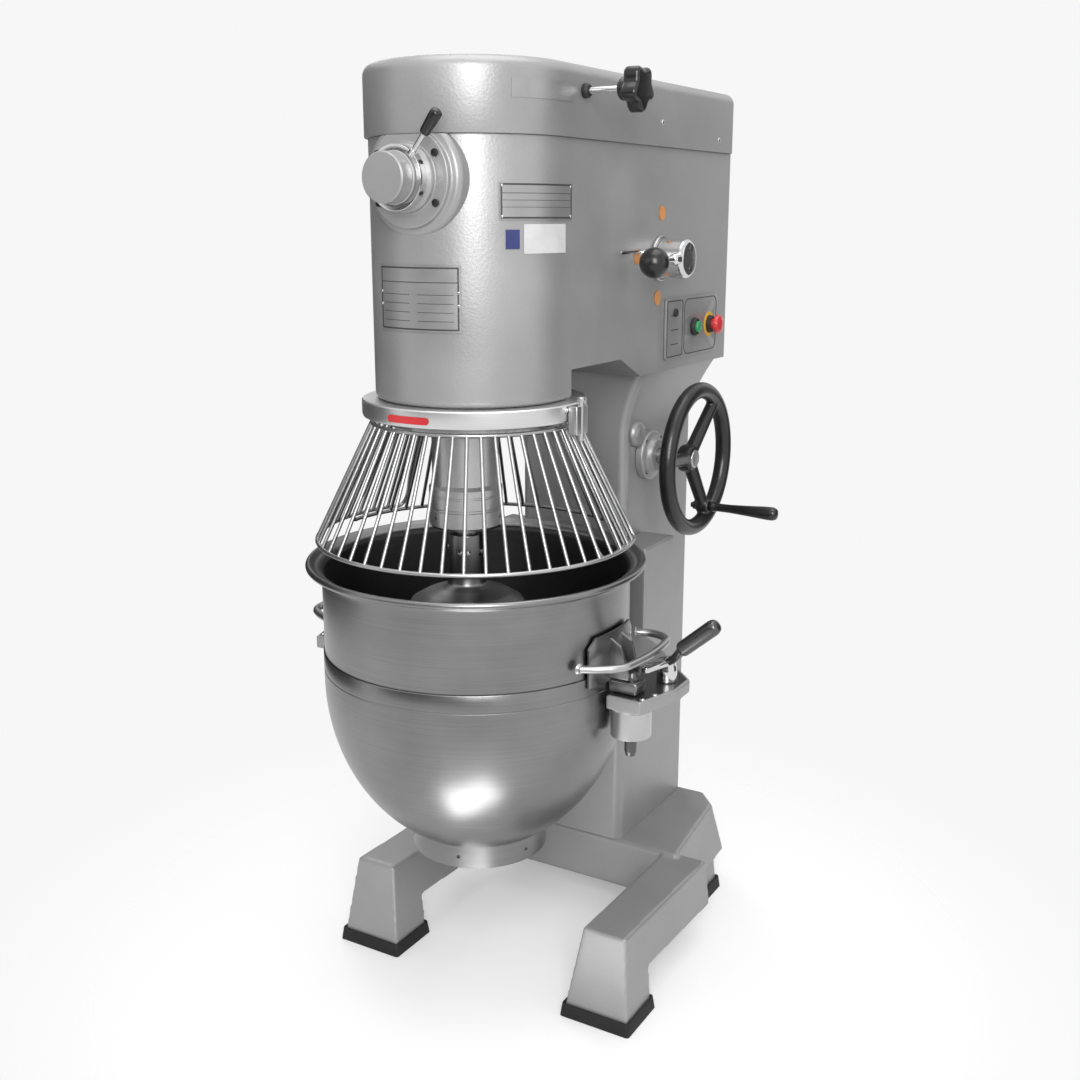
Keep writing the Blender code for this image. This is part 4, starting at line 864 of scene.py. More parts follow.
# --- attachment hub --------------------------------------------------------------------------
def hub():
    """The attachment hub: flanged casting, four socket screws and a dust cap."""
    profile = [(0.0125, 0.000), (0.0125, 0.1026), (0.0385, 0.1026), (0.0385, 0.084), (0.0400, 0.082),
               (0.0500, 0.073), (0.0500, 0.067), (0.0720, 0.067), (0.0720, 0.0585), (0.0810, 0.0560),
               (0.0860, 0.0490), (0.0860, 0.000)]
    cast_hub = turned([(r, -y) for r, y in fillet_profile(profile, 0.0030)], "Y", (0, -0.105, HUB_Z), 96,
                      closed=True)
    nose = disc(HEAD_RADIUS + 0.0006, 1.2, 1.6, "Z", steps=144)
    seam = box(-0.1, 0.1, -0.3, -0.09, HEAD_SEAM - GAP, 1.6)
    piece("hub_casting", carved(cast_hub, nose, seam), "frame", SILVER, ("hub_housing",), 40)
    sockets, recesses = [], []
    for x in (0.051, -0.051):
        for z in (0.035, -0.035):
            head = turned([(0, 0), (0.0052, 0), (0.0056, 0.0006), (0.0056, 0.0036), (0.0050, 0.0042),
                           (0.0030, 0.0042), (0.0030, 0.0018), (0, 0.0018)], "Y", (0, 0, 0), 24)
            bmesh.ops.rotate(head, matrix=Matrix.Rotation(math.pi, 3, 'Z'), verts=head.verts)
            bmesh.ops.translate(head, verts=head.verts, vec=(x, HUB_FACE_Y, HUB_Z + z))
            sockets.append(head)
            recesses.append(disc(0.0028, HUB_FACE_Y - 0.0030, HUB_FACE_Y - 0.0012, "Y", (x, HUB_Z + z), 6))
    piece("hub_bolts", joined(*sockets, *recesses), "frame", SLOT_BLACK)
    cap = [(0, 0), (0.0345, 0), (0.0365, 0.0020), (0.0365, 0.0245), (0.0360, 0.025), (0.0290, 0.025),
           (0.0290, 0.006), (0, 0.006)]
    piece("hub_dust_cap", turned(cap, "Y", (0, HUB_CAP_Y, HUB_Z), 96), "frame", SILVER,
          ("hub_cap",), 25)


def hub_clutch():
    """The ring round the hub's neck, with its short lever."""
    ring = turned(fillet_profile([(0.0395, 0), (0.0470, 0), (0.0470, 0.015), (0.0395, 0.015)], 0.001),
                  "Y", (0, -0.2035, HUB_Z), 72, closed=True)
    aim = math.radians(47)
    along = Vector((math.cos(aim), -0.12, math.sin(aim))).normalized()
    root = Vector((0.043 * math.cos(aim), -0.2000, HUB_Z + 0.043 * math.sin(aim)))
    stem = rod(0.0040, root, root + along * 0.048, 20)
    neck = rod(0.0062, root, root + along * 0.008, 20)
    piece("clutch_ring", joined(ring, stem, neck), "hub_clutch", CHROME, ("hub_lever",))
    grip = turned(fillet_profile([(0, 0), (0.0060, 0), (0.0078, 0.003), (0.0092, 0.030), (0.0085, 0.040),
                                  (0, 0.0435)], 0.003), steps=SMALL)
    grip = aimed(grip, root + along * 0.038, along)
    piece("clutch_grip", grip, "hub_clutch", BLACK)


# --- side controls ---------------------------------------------------------------------------
def side_frame(y0, z0, y1, z1, corner, width, low, high):
    """A thin rounded frame line on a face that looks along +X."""
    outer = laid_along_x(rounded_outline(y0, z0, y1, z1, corner, 5), low, high)
    inner = laid_along_x(rounded_outline(y0 + width, z0 + width, y1 - width, z1 - width,
                                         max(corner - width, 0.001), 5), low - 0.01, high + 0.01)
    return carved(outer, inner)


def control_panel():
    """The control plate with its lines, lens, button bezels and yellow ring."""
    x0, y0, z0 = PANEL_LOW
    y1, z1 = PANEL_HIGH.y, PANEL_HIGH.z
    face = x0 + 0.004
    plate = laid_along_x(rounded_outline(y0, z0, y1, z1, 0.006, 5), x0, face)
    holes = [disc(0.0117, x0 - 0.01, face + 0.02, "X", (y, BUTTON_Z)) for y in (START_Y, STOP_Y)]
    plate = softened(carved(plate, *holes), 0.0006, 2, 50)
    piece("control_plate", plate, "frame", PLATE, ("control_panel",))
    split, edge = y0 + 0.075, 0.004
    sunk, proud = face - 0.0002, face + 0.0003
    left, right = (y0 + edge, split - 0.003), (split + 0.003, y1 - edge)
    foot, top = z0 + edge, z1 - edge
    lines = joined(side_frame(left[0], foot, left[1], top, 0.006, 0.0022, sunk, proud),
                   side_frame(right[0], foot, right[1], top, 0.016, 0.0018, sunk, proud))
    for row in range(3):
        z = z0 + 0.026 + row * 0.026
        lines = joined(lines, box(sunk, proud, y0 + 0.022, split - 0.022, z, z + 0.0018))
    piece("control_lines", lines, "frame", INK)
    profile = [(0, 0), (0.0075, 0), (0.0075, 0.003), (0.0055, 0.005), (0, 0.005)]
    lens = turned(fillet_profile(profile, 0.001), "X", (face, (y0 + split) / 2, z1 - 0.026), SMALL)
    piece("indicator_lens", lens, "frame", SLOT_BLACK)
    bezels = []
    bore, radius = 0.0118, 0.0165
    for y in (START_Y, STOP_Y):
        ring = [(bore, 0), (radius, 0), (radius, 0.0062), (radius - 0.0020, 0.0086), (bore, 0.0086)]
        bezels.append(turned(fillet_profile(ring, 0.001), "X", (face, y, BUTTON_Z), 48, closed=True))
    piece("button_bezels", joined(*bezels), "frame", SLOT_BLACK)
    band = turned([(0.0170, 0), (0.0235, 0), (0.0235, 0.0010), (0.0170, 0.0010)], "X",
                  (face, STOP_Y, BUTTON_Z), 48, closed=True)
    piece("stop_ring", band, "frame", YELLOW)


def buttons():
    """The green start button and the red mushroom stop button."""
    root, stem = 0.1676, 0.0106
    start = [(0, root), (stem, root), (stem, 0.1770), (0.0096, 0.1783), (0, 0.1785)]
    piece("start_cap", turned(fillet_profile(start, 0.0008), "X", (0, START_Y, BUTTON_Z), 48), "start",
          GREEN, ("start_button",))
    stop = [(0, root), (stem, root), (stem, 0.1797), (0.0172, 0.1797), (0.0185, 0.1825),
            (0.0168, 0.1885), (0.0090, 0.1912), (0, 0.1919)]
    piece("stop_cap", turned(fillet_profile(stop, 0.0016), "X", (0, STOP_Y, BUTTON_Z), 48), "stop", RED,
          ("stop_button",))


def selector():
    """The gear selector: flange, drum, arm with a ball, and three marks round it."""
    y, z = SELECTOR_Y, SELECTOR_Z
    seat_x = span("selector_base")[0].x
    base_ring = turned(fillet_profile([(0.010, 0), (0.0400, 0), (0.0400, 0.004), (0.0385, 0.006),
                                       (0.010, 0.006)], 0.001), "X", (seat_x, y, z), 72, closed=True)
    piece("selector_flange", base_ring, "frame", TURNED, ("selector_base",))
    drum_x, end_x = span("gear_selector")[0].x, span("gear_selector")[1].x
    drum = turned(fillet_profile([(0, drum_x), (SELECTOR_R, drum_x), (SELECTOR_R, end_x - 0.006),
                                  (SELECTOR_R - 0.006, end_x), (0, end_x)], 0.003), "X", (0, y, z), 72)
    arm_x, ball_y = 0.206, y - SELECTOR_ARM
    arm = rod(0.0060, (arm_x, y - 0.02, z), (arm_x, ball_y + 0.020, z), 24)
    profile = [(0, 0), (0.0110, 0), (0.0095, 0.016), (0.0065, 0.020), (0, 0.020)]
    boss = turned(fillet_profile(profile, 0.002), steps=SMALL)
    spot = Matrix.Translation((arm_x, y - SELECTOR_R + 0.005, z)) @ Matrix.Rotation(math.pi / 2, 4, 'X')
    bmesh.ops.transform(boss, matrix=spot, verts=boss.verts)
    pointer = softened(box(drum_x, drum_x + 0.0025, y - 0.168, y - 0.010, z + 0.011, z + 0.016), 0.0006, 2)
    piece("selector_drum", joined(drum, arm, boss, pointer), "selector", CHROME,
          ("gear_selector",), 35)
    screws = [disc(0.0058, end_x - 0.0008, end_x + 0.0006, "X", (y + 0.004, z + hand * 0.017), 24)
              for hand in (-1, 1)]
    piece("selector_screws", joined(*screws), "selector", GRIP_STEEL)
    knob = bmesh.new()
    bmesh.ops.create_uvsphere(knob, u_segments=48, v_segments=24, radius=0.0255)
    bmesh.ops.translate(knob, verts=knob.verts, vec=(arm_x + 0.006, ball_y - 0.002, z - 0.003))
    seat = disc(0.0110, 0, 0.0012, "Z")
    bmesh.ops.transform(seat, matrix=Matrix.Translation((arm_x + 0.001, ball_y + 0.0225, z - 0.001))
                        @ Matrix.Rotation(-math.pi / 2, 4, 'X'), verts=seat.verts)
    piece("selector_knob", joined(knob, seat), "selector", BLACK, ("selector_ball",))
    marks = []
    for dy, dz in ((0.004, 0.0775), (-0.092, 0.005), (-0.008, -0.0685)):
        outline = [(y + dy + a, z + dz + b) for a, b in arc(0.0128, 0, 345, 23)]
        marks.append(laid_along_x(outline, HEAD_RADIUS + 0.0004, HEAD_RADIUS + 0.0008))
    piece("selector_marks", joined(*marks), "frame", ORANGE)


def speed_knob():
    """The lobed knob on a long stem through the lid."""
    x1 = span("speed_knob")[1].x
    stem = turned(fillet_profile([(0, 0.130), (0.0052, 0.130), (0.0052, 0.2290), (0, 0.2290)], 0.001), "X",
                  (0, KNOB_Y, KNOB_Z), SMALL)
    profile = [(0.0062, 0), (0.0110, 0), (0.0110, 0.006), (0.0085, 0.010), (0.0062, 0.010)]
    nut = turned(fillet_profile(profile, 0.001), "X", (COVER_RADIUS + 0.0006, KNOB_Y, KNOB_Z), SMALL,
                 closed=True)
    piece("speed_stem", stem, "speed", CHROME)
    piece("speed_nut", nut, "frame", SLOT_BLACK)
    outline = []
    points, lobes = 120, 5
    for index in range(points):
        angle = math.tau * index / points
        radius = 0.0305 + 0.0042 * math.cos(lobes * angle)
        outline.append((radius * math.cos(angle), radius * math.sin(angle)))
    lobe = softened(prism(outline, x1 - 0.027, x1), 0.0065, 5, 60)
    bmesh.ops.transform(lobe, matrix=Matrix.Translation((0, KNOB_Y, KNOB_Z))
                        @ Matrix.Rotation(math.pi / 2, 4, 'Y'), verts=lobe.verts)
    hub_end = turned(fillet_profile([(0, 0.2285), (0.0150, 0.2285), (0.0175, 0.2330), (0.0160, 0.2460),
                                     (0, 0.2470)], 0.003), "X", (0, KNOB_Y, KNOB_Z), 56)
    piece("speed_lobes", joined(lobe, hub_end), "speed", BLACK, ("speed_knob",))


# --- planetary head and whisk ----------------------------------------------------------------
def planetary():
    """The carrier disc that orbits under the head, with the agitator's grooved housing."""
    place = (*ORBIT, 0)
    plate_low, plate_high = 1.034, 1.050
    plate = turned(fillet_profile([(0, plate_low), (0.1385, plate_low), (0.1400, plate_low + 0.002),
                                   (0.1400, plate_high), (0, plate_high)], 0.001))
    bore, sleeve, groove, waist = 0.0196, 0.0590, 0.0572, 0.0535
    neck = [(bore, 0.882), (0.0560, 0.880), (sleeve, 0.884), (sleeve, 0.908), (groove, 0.9095),
            (groove, 0.9120), (sleeve, 0.9135), (sleeve, 0.930), (0.0578, 0.9312), (0.0578, 0.9328),
            (sleeve, 0.934), (sleeve, 0.944), (waist, 0.950), (waist, plate_low + 0.004),
            (bore, plate_low + 0.004)]
    housing = turned(neck, "Z", place, 96, closed=True)
    drill = disc(bore, 0.86, 1.10, "Z", ORBIT)
    solid = carved(carved(plate, drill), housing, operation='UNION')
    piece("planet_housing", solid, "planet", TURNED, ("planet_carrier",), 30)
    screws = []
    for index in range(3):
        turn = math.radians(-110 + index * 120)
        ray = Vector((math.cos(turn), math.sin(turn), 0))
        spot = Vector((ORBIT[0], ORBIT[1], 0.898)) + ray * 0.0588
        screws.append(screw_head(0.0030, 0.0012, spot, ray))
    piece("sleeve_screws", joined(*screws), "planet", GRIP_STEEL)


def whisk():
    """Eight loops of wire under a dome, whose socket has slots for the shaft's cross pin."""
    place = (*ORBIT, 0)
    dome = [(0.0186, 0.767), (0.0186, 0.8675), (0.0270, 0.8675), (0.0290, 0.8655), (0.0290, 0.795),
            (0.0310, 0.783), (0.0420, 0.7765), (0.0700, 0.767), (0.0925, 0.754), (0.0960, 0.747),
            (0.0960, 0.741), (0.0925, 0.740), (0.0700, 0.747)]
    hub_shell = turned(fillet_profile(dome, 0.003), "Z", place, 96, closed=True)
    slot_half = 0.0056
    slots = []
    for hand in (-1, 1):
        x = ORBIT[0] + hand * 0.026
        slots.append(box(x - 0.012, x + 0.012, ORBIT[1] - slot_half, ORBIT[1] + slot_half,
                         PIN_Z - slot_half, 0.88))
    for angle, radius in ((-80, 0.0050), (-50, 0.0036)):
        turn = math.radians(angle)
        middle = Vector((*ORBIT, PIN_Z))
        slots.append(rod(radius, middle, middle + Vector((math.cos(turn), math.sin(turn), 0)) * 0.04, 20))
    hub_shell = carved(hub_shell, *slots)
    wires = []
    loops, wire = 8, 0.0024
    for index in range(loops):
        turn = math.pi * (index + 0.5) / loops
        floor = 0.372 + index * 0.0052
        side = [(0.082, 0.750), (0.090, 0.725), (0.109, 0.665), (0.120, 0.590), (0.116, 0.510),
                (0.096, 0.445), (0.062, 0.398 + index * 0.0035), (0.026, floor + 0.002)]
        route = []
        for hand, half in ((-1, side), (1, list(reversed(side)))):
            for reach, height in half:
                route.append((ORBIT[0] + hand * reach * math.cos(turn),
                              ORBIT[1] + hand * reach * math.sin(turn), height))
        wires.append(tube(route, wire, sides=2))
    piece("whisk_wires", joined(*wires), "agitator", WIRE, ("whisk",), 50)
    piece("whisk_dome", hub_shell, "agitator", STAINLESS, smooth=30)


# --- bowl ------------------------------------------------------------------------------------
def round_bottom(shell_radius, depth, low_radius, steps):
    """Points up the round bottom, from a given radius to the shoulder."""
    start = math.acos(low_radius / shell_radius)
    points = []
    for step in range(steps + 1):
        angle = start * (1 - step / steps)
        points.append((shell_radius * math.cos(angle), BOWL_SHOULDER - depth * math.sin(angle)))
    return points


def bottom_height(radius, shell_radius, depth):
    """The height of the round bottom at a radius."""
    return BOWL_SHOULDER - depth * math.sqrt(1.0 - (radius / shell_radius) ** 2)


def bowl():
    """The bowl, turned in one piece from wall to rolled rim, on a drilled foot ring."""
    wall, seam, groove = 0.004, 0.655, 0.0006
    lowest = BOWL_SHOULDER - BOWL_DEPTH
    outer = [(0, lowest)] + round_bottom(BOWL_RADIUS, BOWL_DEPTH, 0.030, 34)
    outer += [(BOWL_RADIUS, 0.6240), (BOWL_RADIUS - groove, 0.6248), (BOWL_RADIUS - groove, 0.6262),
              (BOWL_RADIUS, 0.6270), (BOWL_RADIUS, seam - 0.001), (BOWL_RADIUS - 0.0006, seam),
              (BOWL_RADIUS - 0.0024, seam + 0.0012), (BOWL_RADIUS - 0.0020, seam + 0.0030),
              (BOWL_RADIUS - 0.0020, 0.780)]
    outer += arc(0.014, 180, 90, 8, (BOWL_RADIUS + 0.012, 0.784))
    rim_tube = 0.0055
    centre = (BOWL_RIM_R - rim_tube, BOWL_RIM_Z - rim_tube)
    outer += [(centre[0] - 0.004, 0.7980)] + arc(rim_tube, -70, 110, 14, centre)
    inner_radius = BOWL_RADIUS - 0.002 - wall
    inner = [(centre[0] - 0.008, 0.8030)] + arc(0.014, 90, 180, 8, (inner_radius + 0.014, 0.7880))
    inner += list(reversed(round_bottom(inner_radius, BOWL_DEPTH - wall, 0.030, 30)))
    inner.append((0, lowest + wall))
    shell = piece("bowl_shell", turned(outer + inner, steps=192), "carriage", STAINLESS,
                  ("bowl",), 35)
    # The inner wall and the inner floor below the rim take the darker copy of the stainless: painted shade
    # inside the bowl.
    shell.data.materials.append(PAINTED_SHADE_INSIDE)
    for face in shell.data.polygons:
        inward = face.normal.x * face.center.x + face.normal.y * (face.center.y - AXIS_Y) < 0
        face.material_index = int((inward or face.normal.z > 0.7) and face.center.z < BOWL_RIM_Z - 0.012)
    top = bottom_height(FOOT_RING_R, BOWL_RADIUS, BOWL_DEPTH) + 0.002
    ring = turned([(FOOT_RING_R - 0.004, FOOT_RING_Z), (FOOT_RING_R, FOOT_RING_Z), (FOOT_RING_R, top),
                   (FOOT_RING_R - 0.004, top)], steps=144, closed=True)
    drills = []
    for index in range(6):
        turn = math.radians(index * 60 - 75)
        ray = Vector((math.cos(turn), math.sin(turn), 0))
        spot = Vector((0, 0, FOOT_RING_Z + 0.020))
        drills.append(rod(0.0035, spot + ray * 0.10, spot + ray * 0.13, 16))
    piece("foot_ring", carved(ring, *drills), "carriage", STAINLESS, smooth=30)


def ear(hand):
    """The ridged bracket that the yoke pin enters, on a doubler plate welded to the bowl."""
    inner = BOWL_RADIUS + 0.0012
    plate = prism(arc(inner, -16, 16, 16) + arc(inner + 0.005, 16, -16, 16), 0.6402, 0.7215)
    corners = [rod(0.030, (0.24, y, 0.726), (0.29, y, 0.726), 4) for y in (-0.082, 0.082)]
    plate = softened(carved(plate, *corners), 0.0012, 2, 40)
    lug = box(0.2620, 0.3125, -0.020, 0.018, 0.6206, 0.6420)
    profile = [(0.2600, 0.646), (0.2990, 0.646), (0.2995, 0.654), (0.2850, 0.700), (0.2600, 0.716)]
    ribs = []
    for y in (-0.0215, 0.0155):
        ribs.append(softened(laid_along_y(profile, y, y + 0.006), 0.0014, 2, 40))
    socket = disc(PIN_SOCKET_R, 0.60, 0.66, "Z", YOKE_PIN)
    block = carved(softened(lug, 0.004, 3), disc(inner, 0.60, 0.75, "Z", steps=160), socket)
    ribs = [carved(rib, disc(inner, 0.60, 0.75, "Z", steps=160)) for rib in ribs]
    whole = mirrored(joined(plate, block, *ribs), hand)
    piece("ear_bracket_" + hand, whole, "carriage", STAINLESS, ("bowl_ear_" + hand,), 35)


def bowl_handle(hand):
    """A bent tube with a weld at each end."""
    route = [(0.2470, -0.093), (0.2800, -0.080), (0.3050, -0.058), (HANDLE_X, -0.035),
             (HANDLE_X, 0.085), (0.3050, 0.106), (0.2760, 0.122), (0.2390, 0.112)]
    points = []
    for x, y in route:
        reach = math.hypot(x, y)
        grow = max(1.0, (BOWL_RADIUS + HANDLE_TUBE + 0.0015) / reach) if reach < 0.272 else 1.0
        points.append((x * grow, y * grow, HANDLE_Z))
    bar = tube(points, HANDLE_TUBE, sides=4)
    feet = []
    for x, y, z in (points[0], points[-1]):
        feet.append(rod(0.0095, (x * 0.9985, y * 0.9985, z), (x * 1.012, y * 1.012, z), 24, 0.0068))
    piece("handle_bar_" + hand, mirrored(joined(bar, *feet), hand), "carriage", WIRE,
          ("bowl_handle_" + hand,), 40)


# --- yoke and clamps -------------------------------------------------------------------------
def yoke():
    """The saddle round the column and its two arms, with bosses, pins and wear plates."""
    saddle_half, boss_radius = 0.180, 0.0325
    parts = [box(-saddle_half, saddle_half, 0.280, YOKE_HIGH.y, 0.575, YOKE_HIGH.z)]
    for hand in HANDS:
        sweep = arc(0.272, 4, 74, 28) + arc(0.332, 62, 14, 20)
        end = [(0.2660, -0.035), (0.3280, -0.037), (0.3540, 0.045), (0.3530, 0.100), (0.3150, 0.140),
               (0.2560, 0.130), (0.2730, 0.020)]
        parts.append(mirrored(prism(sweep, ARM_LOW, ARM_TOP - 0.002), hand))
        parts.append(mirrored(prism(end, ARM_LOW + 0.012, ARM_TOP), hand))
        parts.append(mirrored(disc(boss_radius, YOKE_LOW.z, ARM_LOW + 0.016, "Z", YOKE_PIN, 64), hand))
    solid = carved(parts[0], *parts[1:], operation='UNION')
    slide = GAP * 3
    channel = box(-COLUMN_HALF - slide, COLUMN_HALF + slide, COLUMN_FRONT - slide, YOKE_HIGH.y + 0.01,
                  0.56, 0.80)
    clearance = disc(BOWL_RADIUS + 0.0034, 0.50, 0.70, "Z", steps=144)
    bores = [mirrored(disc(PIN_BORE_R, 0.50, 0.65, "Z", YOKE_PIN), hand) for hand in HANDS]
    solid = carved(solid, channel, clearance, *bores)
    piece("yoke_casting", cast(solid, 0.0026, 4), "carriage", SILVER, ("bowl_yoke",), 80)
    screws = []
    for hand in HANDS:
        side = 1 if hand == "right" else -1
        for x, y in ((0.3245, -0.022), (0.3330, 0.006)):
            screws.append(screw_head(0.0050, 0.0026, (side * x, y, ARM_TOP - 0.0006), (0, 0, 1)))
        profile = [(0, 0.512), (0.0080, 0.512), (0.0100, 0.520), (0.0104, 0.545), (0.0106, 0.548),
                   (0.0106, 0.6475), (0.0080, 0.655), (0, 0.655)]
        pin = mirrored(turned(fillet_profile(profile, 0.001), "Z", (*YOKE_PIN, 0), SMALL), hand)
        piece("bowl_pin_" + hand, pin, "carriage", GRIP_STEEL, ("yoke_pin_" + hand,))
        wear = [(0.2700, -0.030), (0.3250, -0.032), (0.3490, 0.046), (0.3480, 0.097), (0.3130, 0.134),
                (0.2640, 0.122), (0.2790, 0.020)]
        strip = prism(wear, ARM_TOP - 0.0012, ARM_TOP + 0.0003)
        clear = disc(PIN_BORE_R, 0.60, 0.64, "Z", YOKE_PIN)
        strip = mirrored(carved(strip, clear), hand)
        piece("wear_plate_" + hand, strip, "carriage", WORN_STEEL)
        profile = [(0.0114, 0.5480), (0.0331, 0.5480), (0.0331, 0.5985), (0.0300, 0.5985),
                   (0.0300, 0.5560), (0.0114, 0.5560)]
        sleeve = turned(fillet_profile(profile, 0.0015), "Z", (*YOKE_PIN, 0), 64, closed=True)
        piece("boss_sleeve_" + hand, mirrored(sleeve, hand), "carriage", TURNED)
    piece("arm_screws", joined(*screws), "carriage", CHROME)


def clamp(hand):
    """A swinging clamp: pivot head, toe over the ear, and a forked arm up to a long grip."""
    body = "clamp_" + hand
    x, y = CLAMP_PIVOT
    low = ARM_TOP + GAP
    profile = [(0, low), (0.0170, low), (0.0170, 0.640), (0.0150, 0.6485), (0.0140, 0.6595), (0, 0.6620)]
    head = turned(fillet_profile(profile, 0.003), "Z", (x, y, 0), 56)
    toe = [(x - 0.013, y + 0.004), (x - 0.0195, y - 0.056), (x - 0.0165, y - 0.062),
           (x - 0.008, y - 0.064), (x - 0.004, y - 0.060), (x + 0.013, y + 0.002)]
    finger = softened(prism(toe, 0.6507, 0.6598), 0.0018, 2, 40)
    elbow = Vector((x + 0.032, y - 0.010, 0.684))
    tip = Vector((x + 0.092, y - 0.012, 0.736))
    cheeks = []
    for lean in (-0.0062, 0.0062):
        side = Vector((0, lean, 0))
        cheeks.append(tube([Vector((x, y, 0.652)) + side, Vector((x + 0.016, y - 0.004, 0.664)) + side,
                            elbow + side * 0.7, elbow.lerp(tip, 0.18) + side * 0.3], 0.0066, sides=3))
    piece("clamp_arm_" + hand, mirrored(joined(head, finger), hand), body, CHROME,
          ("clamp_lever_" + hand,), 40)
    piece("clamp_fork_" + hand, mirrored(joined(*cheeks), hand), body, GRIP_STEEL, smooth=40)
    start = elbow.lerp(tip, -0.06)
    along = (tip - start).normalized()
    length = (tip - start).length
    profile = [(0, 0), (0.0108, 0), (0.0130, 0.004), (0.0134, length - 0.010), (0.0105, length - 0.002),
               (0, length)]
    grip = aimed(turned(fillet_profile(profile, 0.005), steps=56), start, along)
    piece("clamp_handle_" + hand, mirrored(grip, hand), body, GRIP_STEEL,
          ("clamp_grip_" + hand,), 40)


# --- handwheel -------------------------------------------------------------------------------
def spoke_point(angle, radius, x):
    """A point on the handwheel; the angle is measured from the back towards the top."""
    turn = math.radians(angle)
    return (x, WHEEL_Y + radius * math.cos(turn), WHEEL_Z + radius * math.sin(turn))


def handwheel():
    """Rim, three spokes and hub in one casting, with a cap, a nut and the turning crank."""
    section = arc(WHEEL_TUBE, 0, 345, 23, (WHEEL_RIM_R, 0))
    rim = turned(section, "X", (WHEEL_X, WHEEL_Y, WHEEL_Z), 144, closed=True)
    low = WHEEL_LOW.x
    centre = turned(fillet_profile([(0, low), (0.0230, low), (0.0255, low + 0.006), (0.0250, 0.2085),
                                    (0.0190, 0.2125), (0, 0.2125)], 0.003), "X", (0, WHEEL_Y, WHEEL_Z), 64)
    parts = [rim, centre]
    for angle in SPOKE_ANGLES:
        root, end = spoke_point(angle, 0.012, 0.2000), spoke_point(angle, WHEEL_RIM_R - 0.004, WHEEL_X)
        parts.append(rod(0.0130, root, end, 28, 0.0112))
    spot = spoke_point(SPOKE_ANGLES[0], 0.106, 0)[1:]
    parts.append(turned(fillet_profile([(0, 0.203), (0.0130, 0.203), (0.0148, 0.210), (0.0130, 0.2278),
                                        (0, 0.2278)], 0.002), "X", (0, *spot), SMALL))
    solid = carved(parts[0], *parts[1:], operation='UNION')
    piece("wheel_rim_and_spokes", cast(solid, 0.0019, 5), "wheel", WHEEL_BLACK,
          ("handwheel",), 80)
    cap = turned(fillet_profile([(0, 0.2090), (0.0170, 0.2090), (0.0170, 0.2135), (0.0150, 0.2150),
                                 (0, 0.2155)], 0.001), "X", (0, WHEEL_Y, WHEEL_Z), 56)
    piece("wheel_centre_cap", cap, "wheel", TURNED)
    nut = disc(0.0090, 0.1950, 0.2040, "X", spot, 6)
    stud = disc(0.0050, 0.1900, 0.1960, "X", spot, 24)
    piece("crank_nut", joined(softened(nut, 0.0008, 2), stud), "wheel", GRIP_STEEL)
    x0, x1 = CRANK_LOW.x, CRANK_HIGH.x
    profile = [(0, x0), (0.0095, x0), (0.0100, x0 + 0.004), (0.0076, x0 + 0.014),
               (0.0078, x0 + 0.040), (0.0098, x0 + 0.075), (0.0124, x1 - 0.022),
               (0.0125, x1 - 0.008), (0.0095, x1 - 0.001), (0, x1)]
    piece("crank_handle", turned(fillet_profile(profile, 0.006), "X", (0, CRANK_Y, CRANK_Z), 56), "crank",
          BLACK, ("crank_grip",), 50)


def wheel_mount():
    """The flange that carries the handwheel's shaft, its bolts, and a plain boss near it."""
    face = span("wheel_bearing")[0].x
    bore, end = 0.0148, 0.1400
    profile = [(bore, face), (0.0470, face), (0.0470, face + 0.0125), (0.0445, face + 0.0155),
               (0.0350, end - 0.0100), (0.0300, end), (bore, end)]
    flange = turned(fillet_profile(profile, 0.003), "X", (0, WHEEL_Y, WHEEL_Z), 72, closed=True)
    piece("wheel_flange", flange, "frame", SILVER, ("wheel_bearing",), 35)
    bolts = []
    for angle in (45, 135, 225, 315):
        spot = spoke_point(angle, 0.0405, face + 0.0135)
        bolts.append(turned(fillet_profile([(0, 0), (0.0040, 0), (0.0040, 0.0032), (0.0022, 0.0032),
                                            (0.0022, 0.0016), (0, 0.0016)], 0.0005), "X", spot, 24))
    piece("flange_bolts", joined(*bolts), "frame", SLOT_BLACK)
    dome = [(0, 0.0), (0.0250, 0.0), (0.0250, 0.004), (0.0215, 0.0105), (0.0130, 0.0145), (0, 0.0155)]
    boss = turned(fillet_profile(dome, 0.003), "X", (COLUMN_HALF + 0.0004, 0.367, 0.972), 64)
    piece("side_boss", boss, "frame", SILVER)


# --- hidden works ----------------------------------------------------------------------------
def inner_works():
    """CAD solids inside the casings keep their shape and take a finish."""
    finishes = {
        STEEL: ("ring_gear", "main_shaft", "output_gear", "hub_bevel_gear", "hub_drive_shaft", "layshaft",
                "layshaft_gear", "motor_rotor", "lift_screw", "wheel_shaft", "agitator_shaft"),
        IRON: ("gearbox_plate", "input_pulley", "motor", "screw_bearing"),
        BRONZE: ("lift_nut",),
        RUBBER: ("drive_belt",),
    }
    for material, nodes in finishes.items():
        for node in nodes:
            slots = frame["nodes"][node].data.materials
            slots.clear()
            slots.append(material)


# --- studio ----------------------------------------------------------------------------------
CAMERA_PLACE = (1.1527, -1.9420, 1.3631)
CAMERA_TURN = (75.8, 0.0, 30.5)              # degrees
CAMERA_LENS = 42.73
BACKGROUND = 0.93                # what the camera and reflections see
ROOM_LIGHT = 0.52                # the light that the room gives from all round
FLOOR_GLOW = 0.25                # lifts the floor towards the background for the camera alone


def camera():
    """The camera, ahead of the machine on the handwheel side."""
    data = bpy.data.cameras.new("camera")
    data.lens = CAMERA_LENS
    data.sensor_width = 36.0
    obj = linked("camera", data)
    obj.location = CAMERA_PLACE
    obj.rotation_euler = [math.radians(turn) for turn in CAMERA_TURN]
    bpy.context.scene.camera = obj


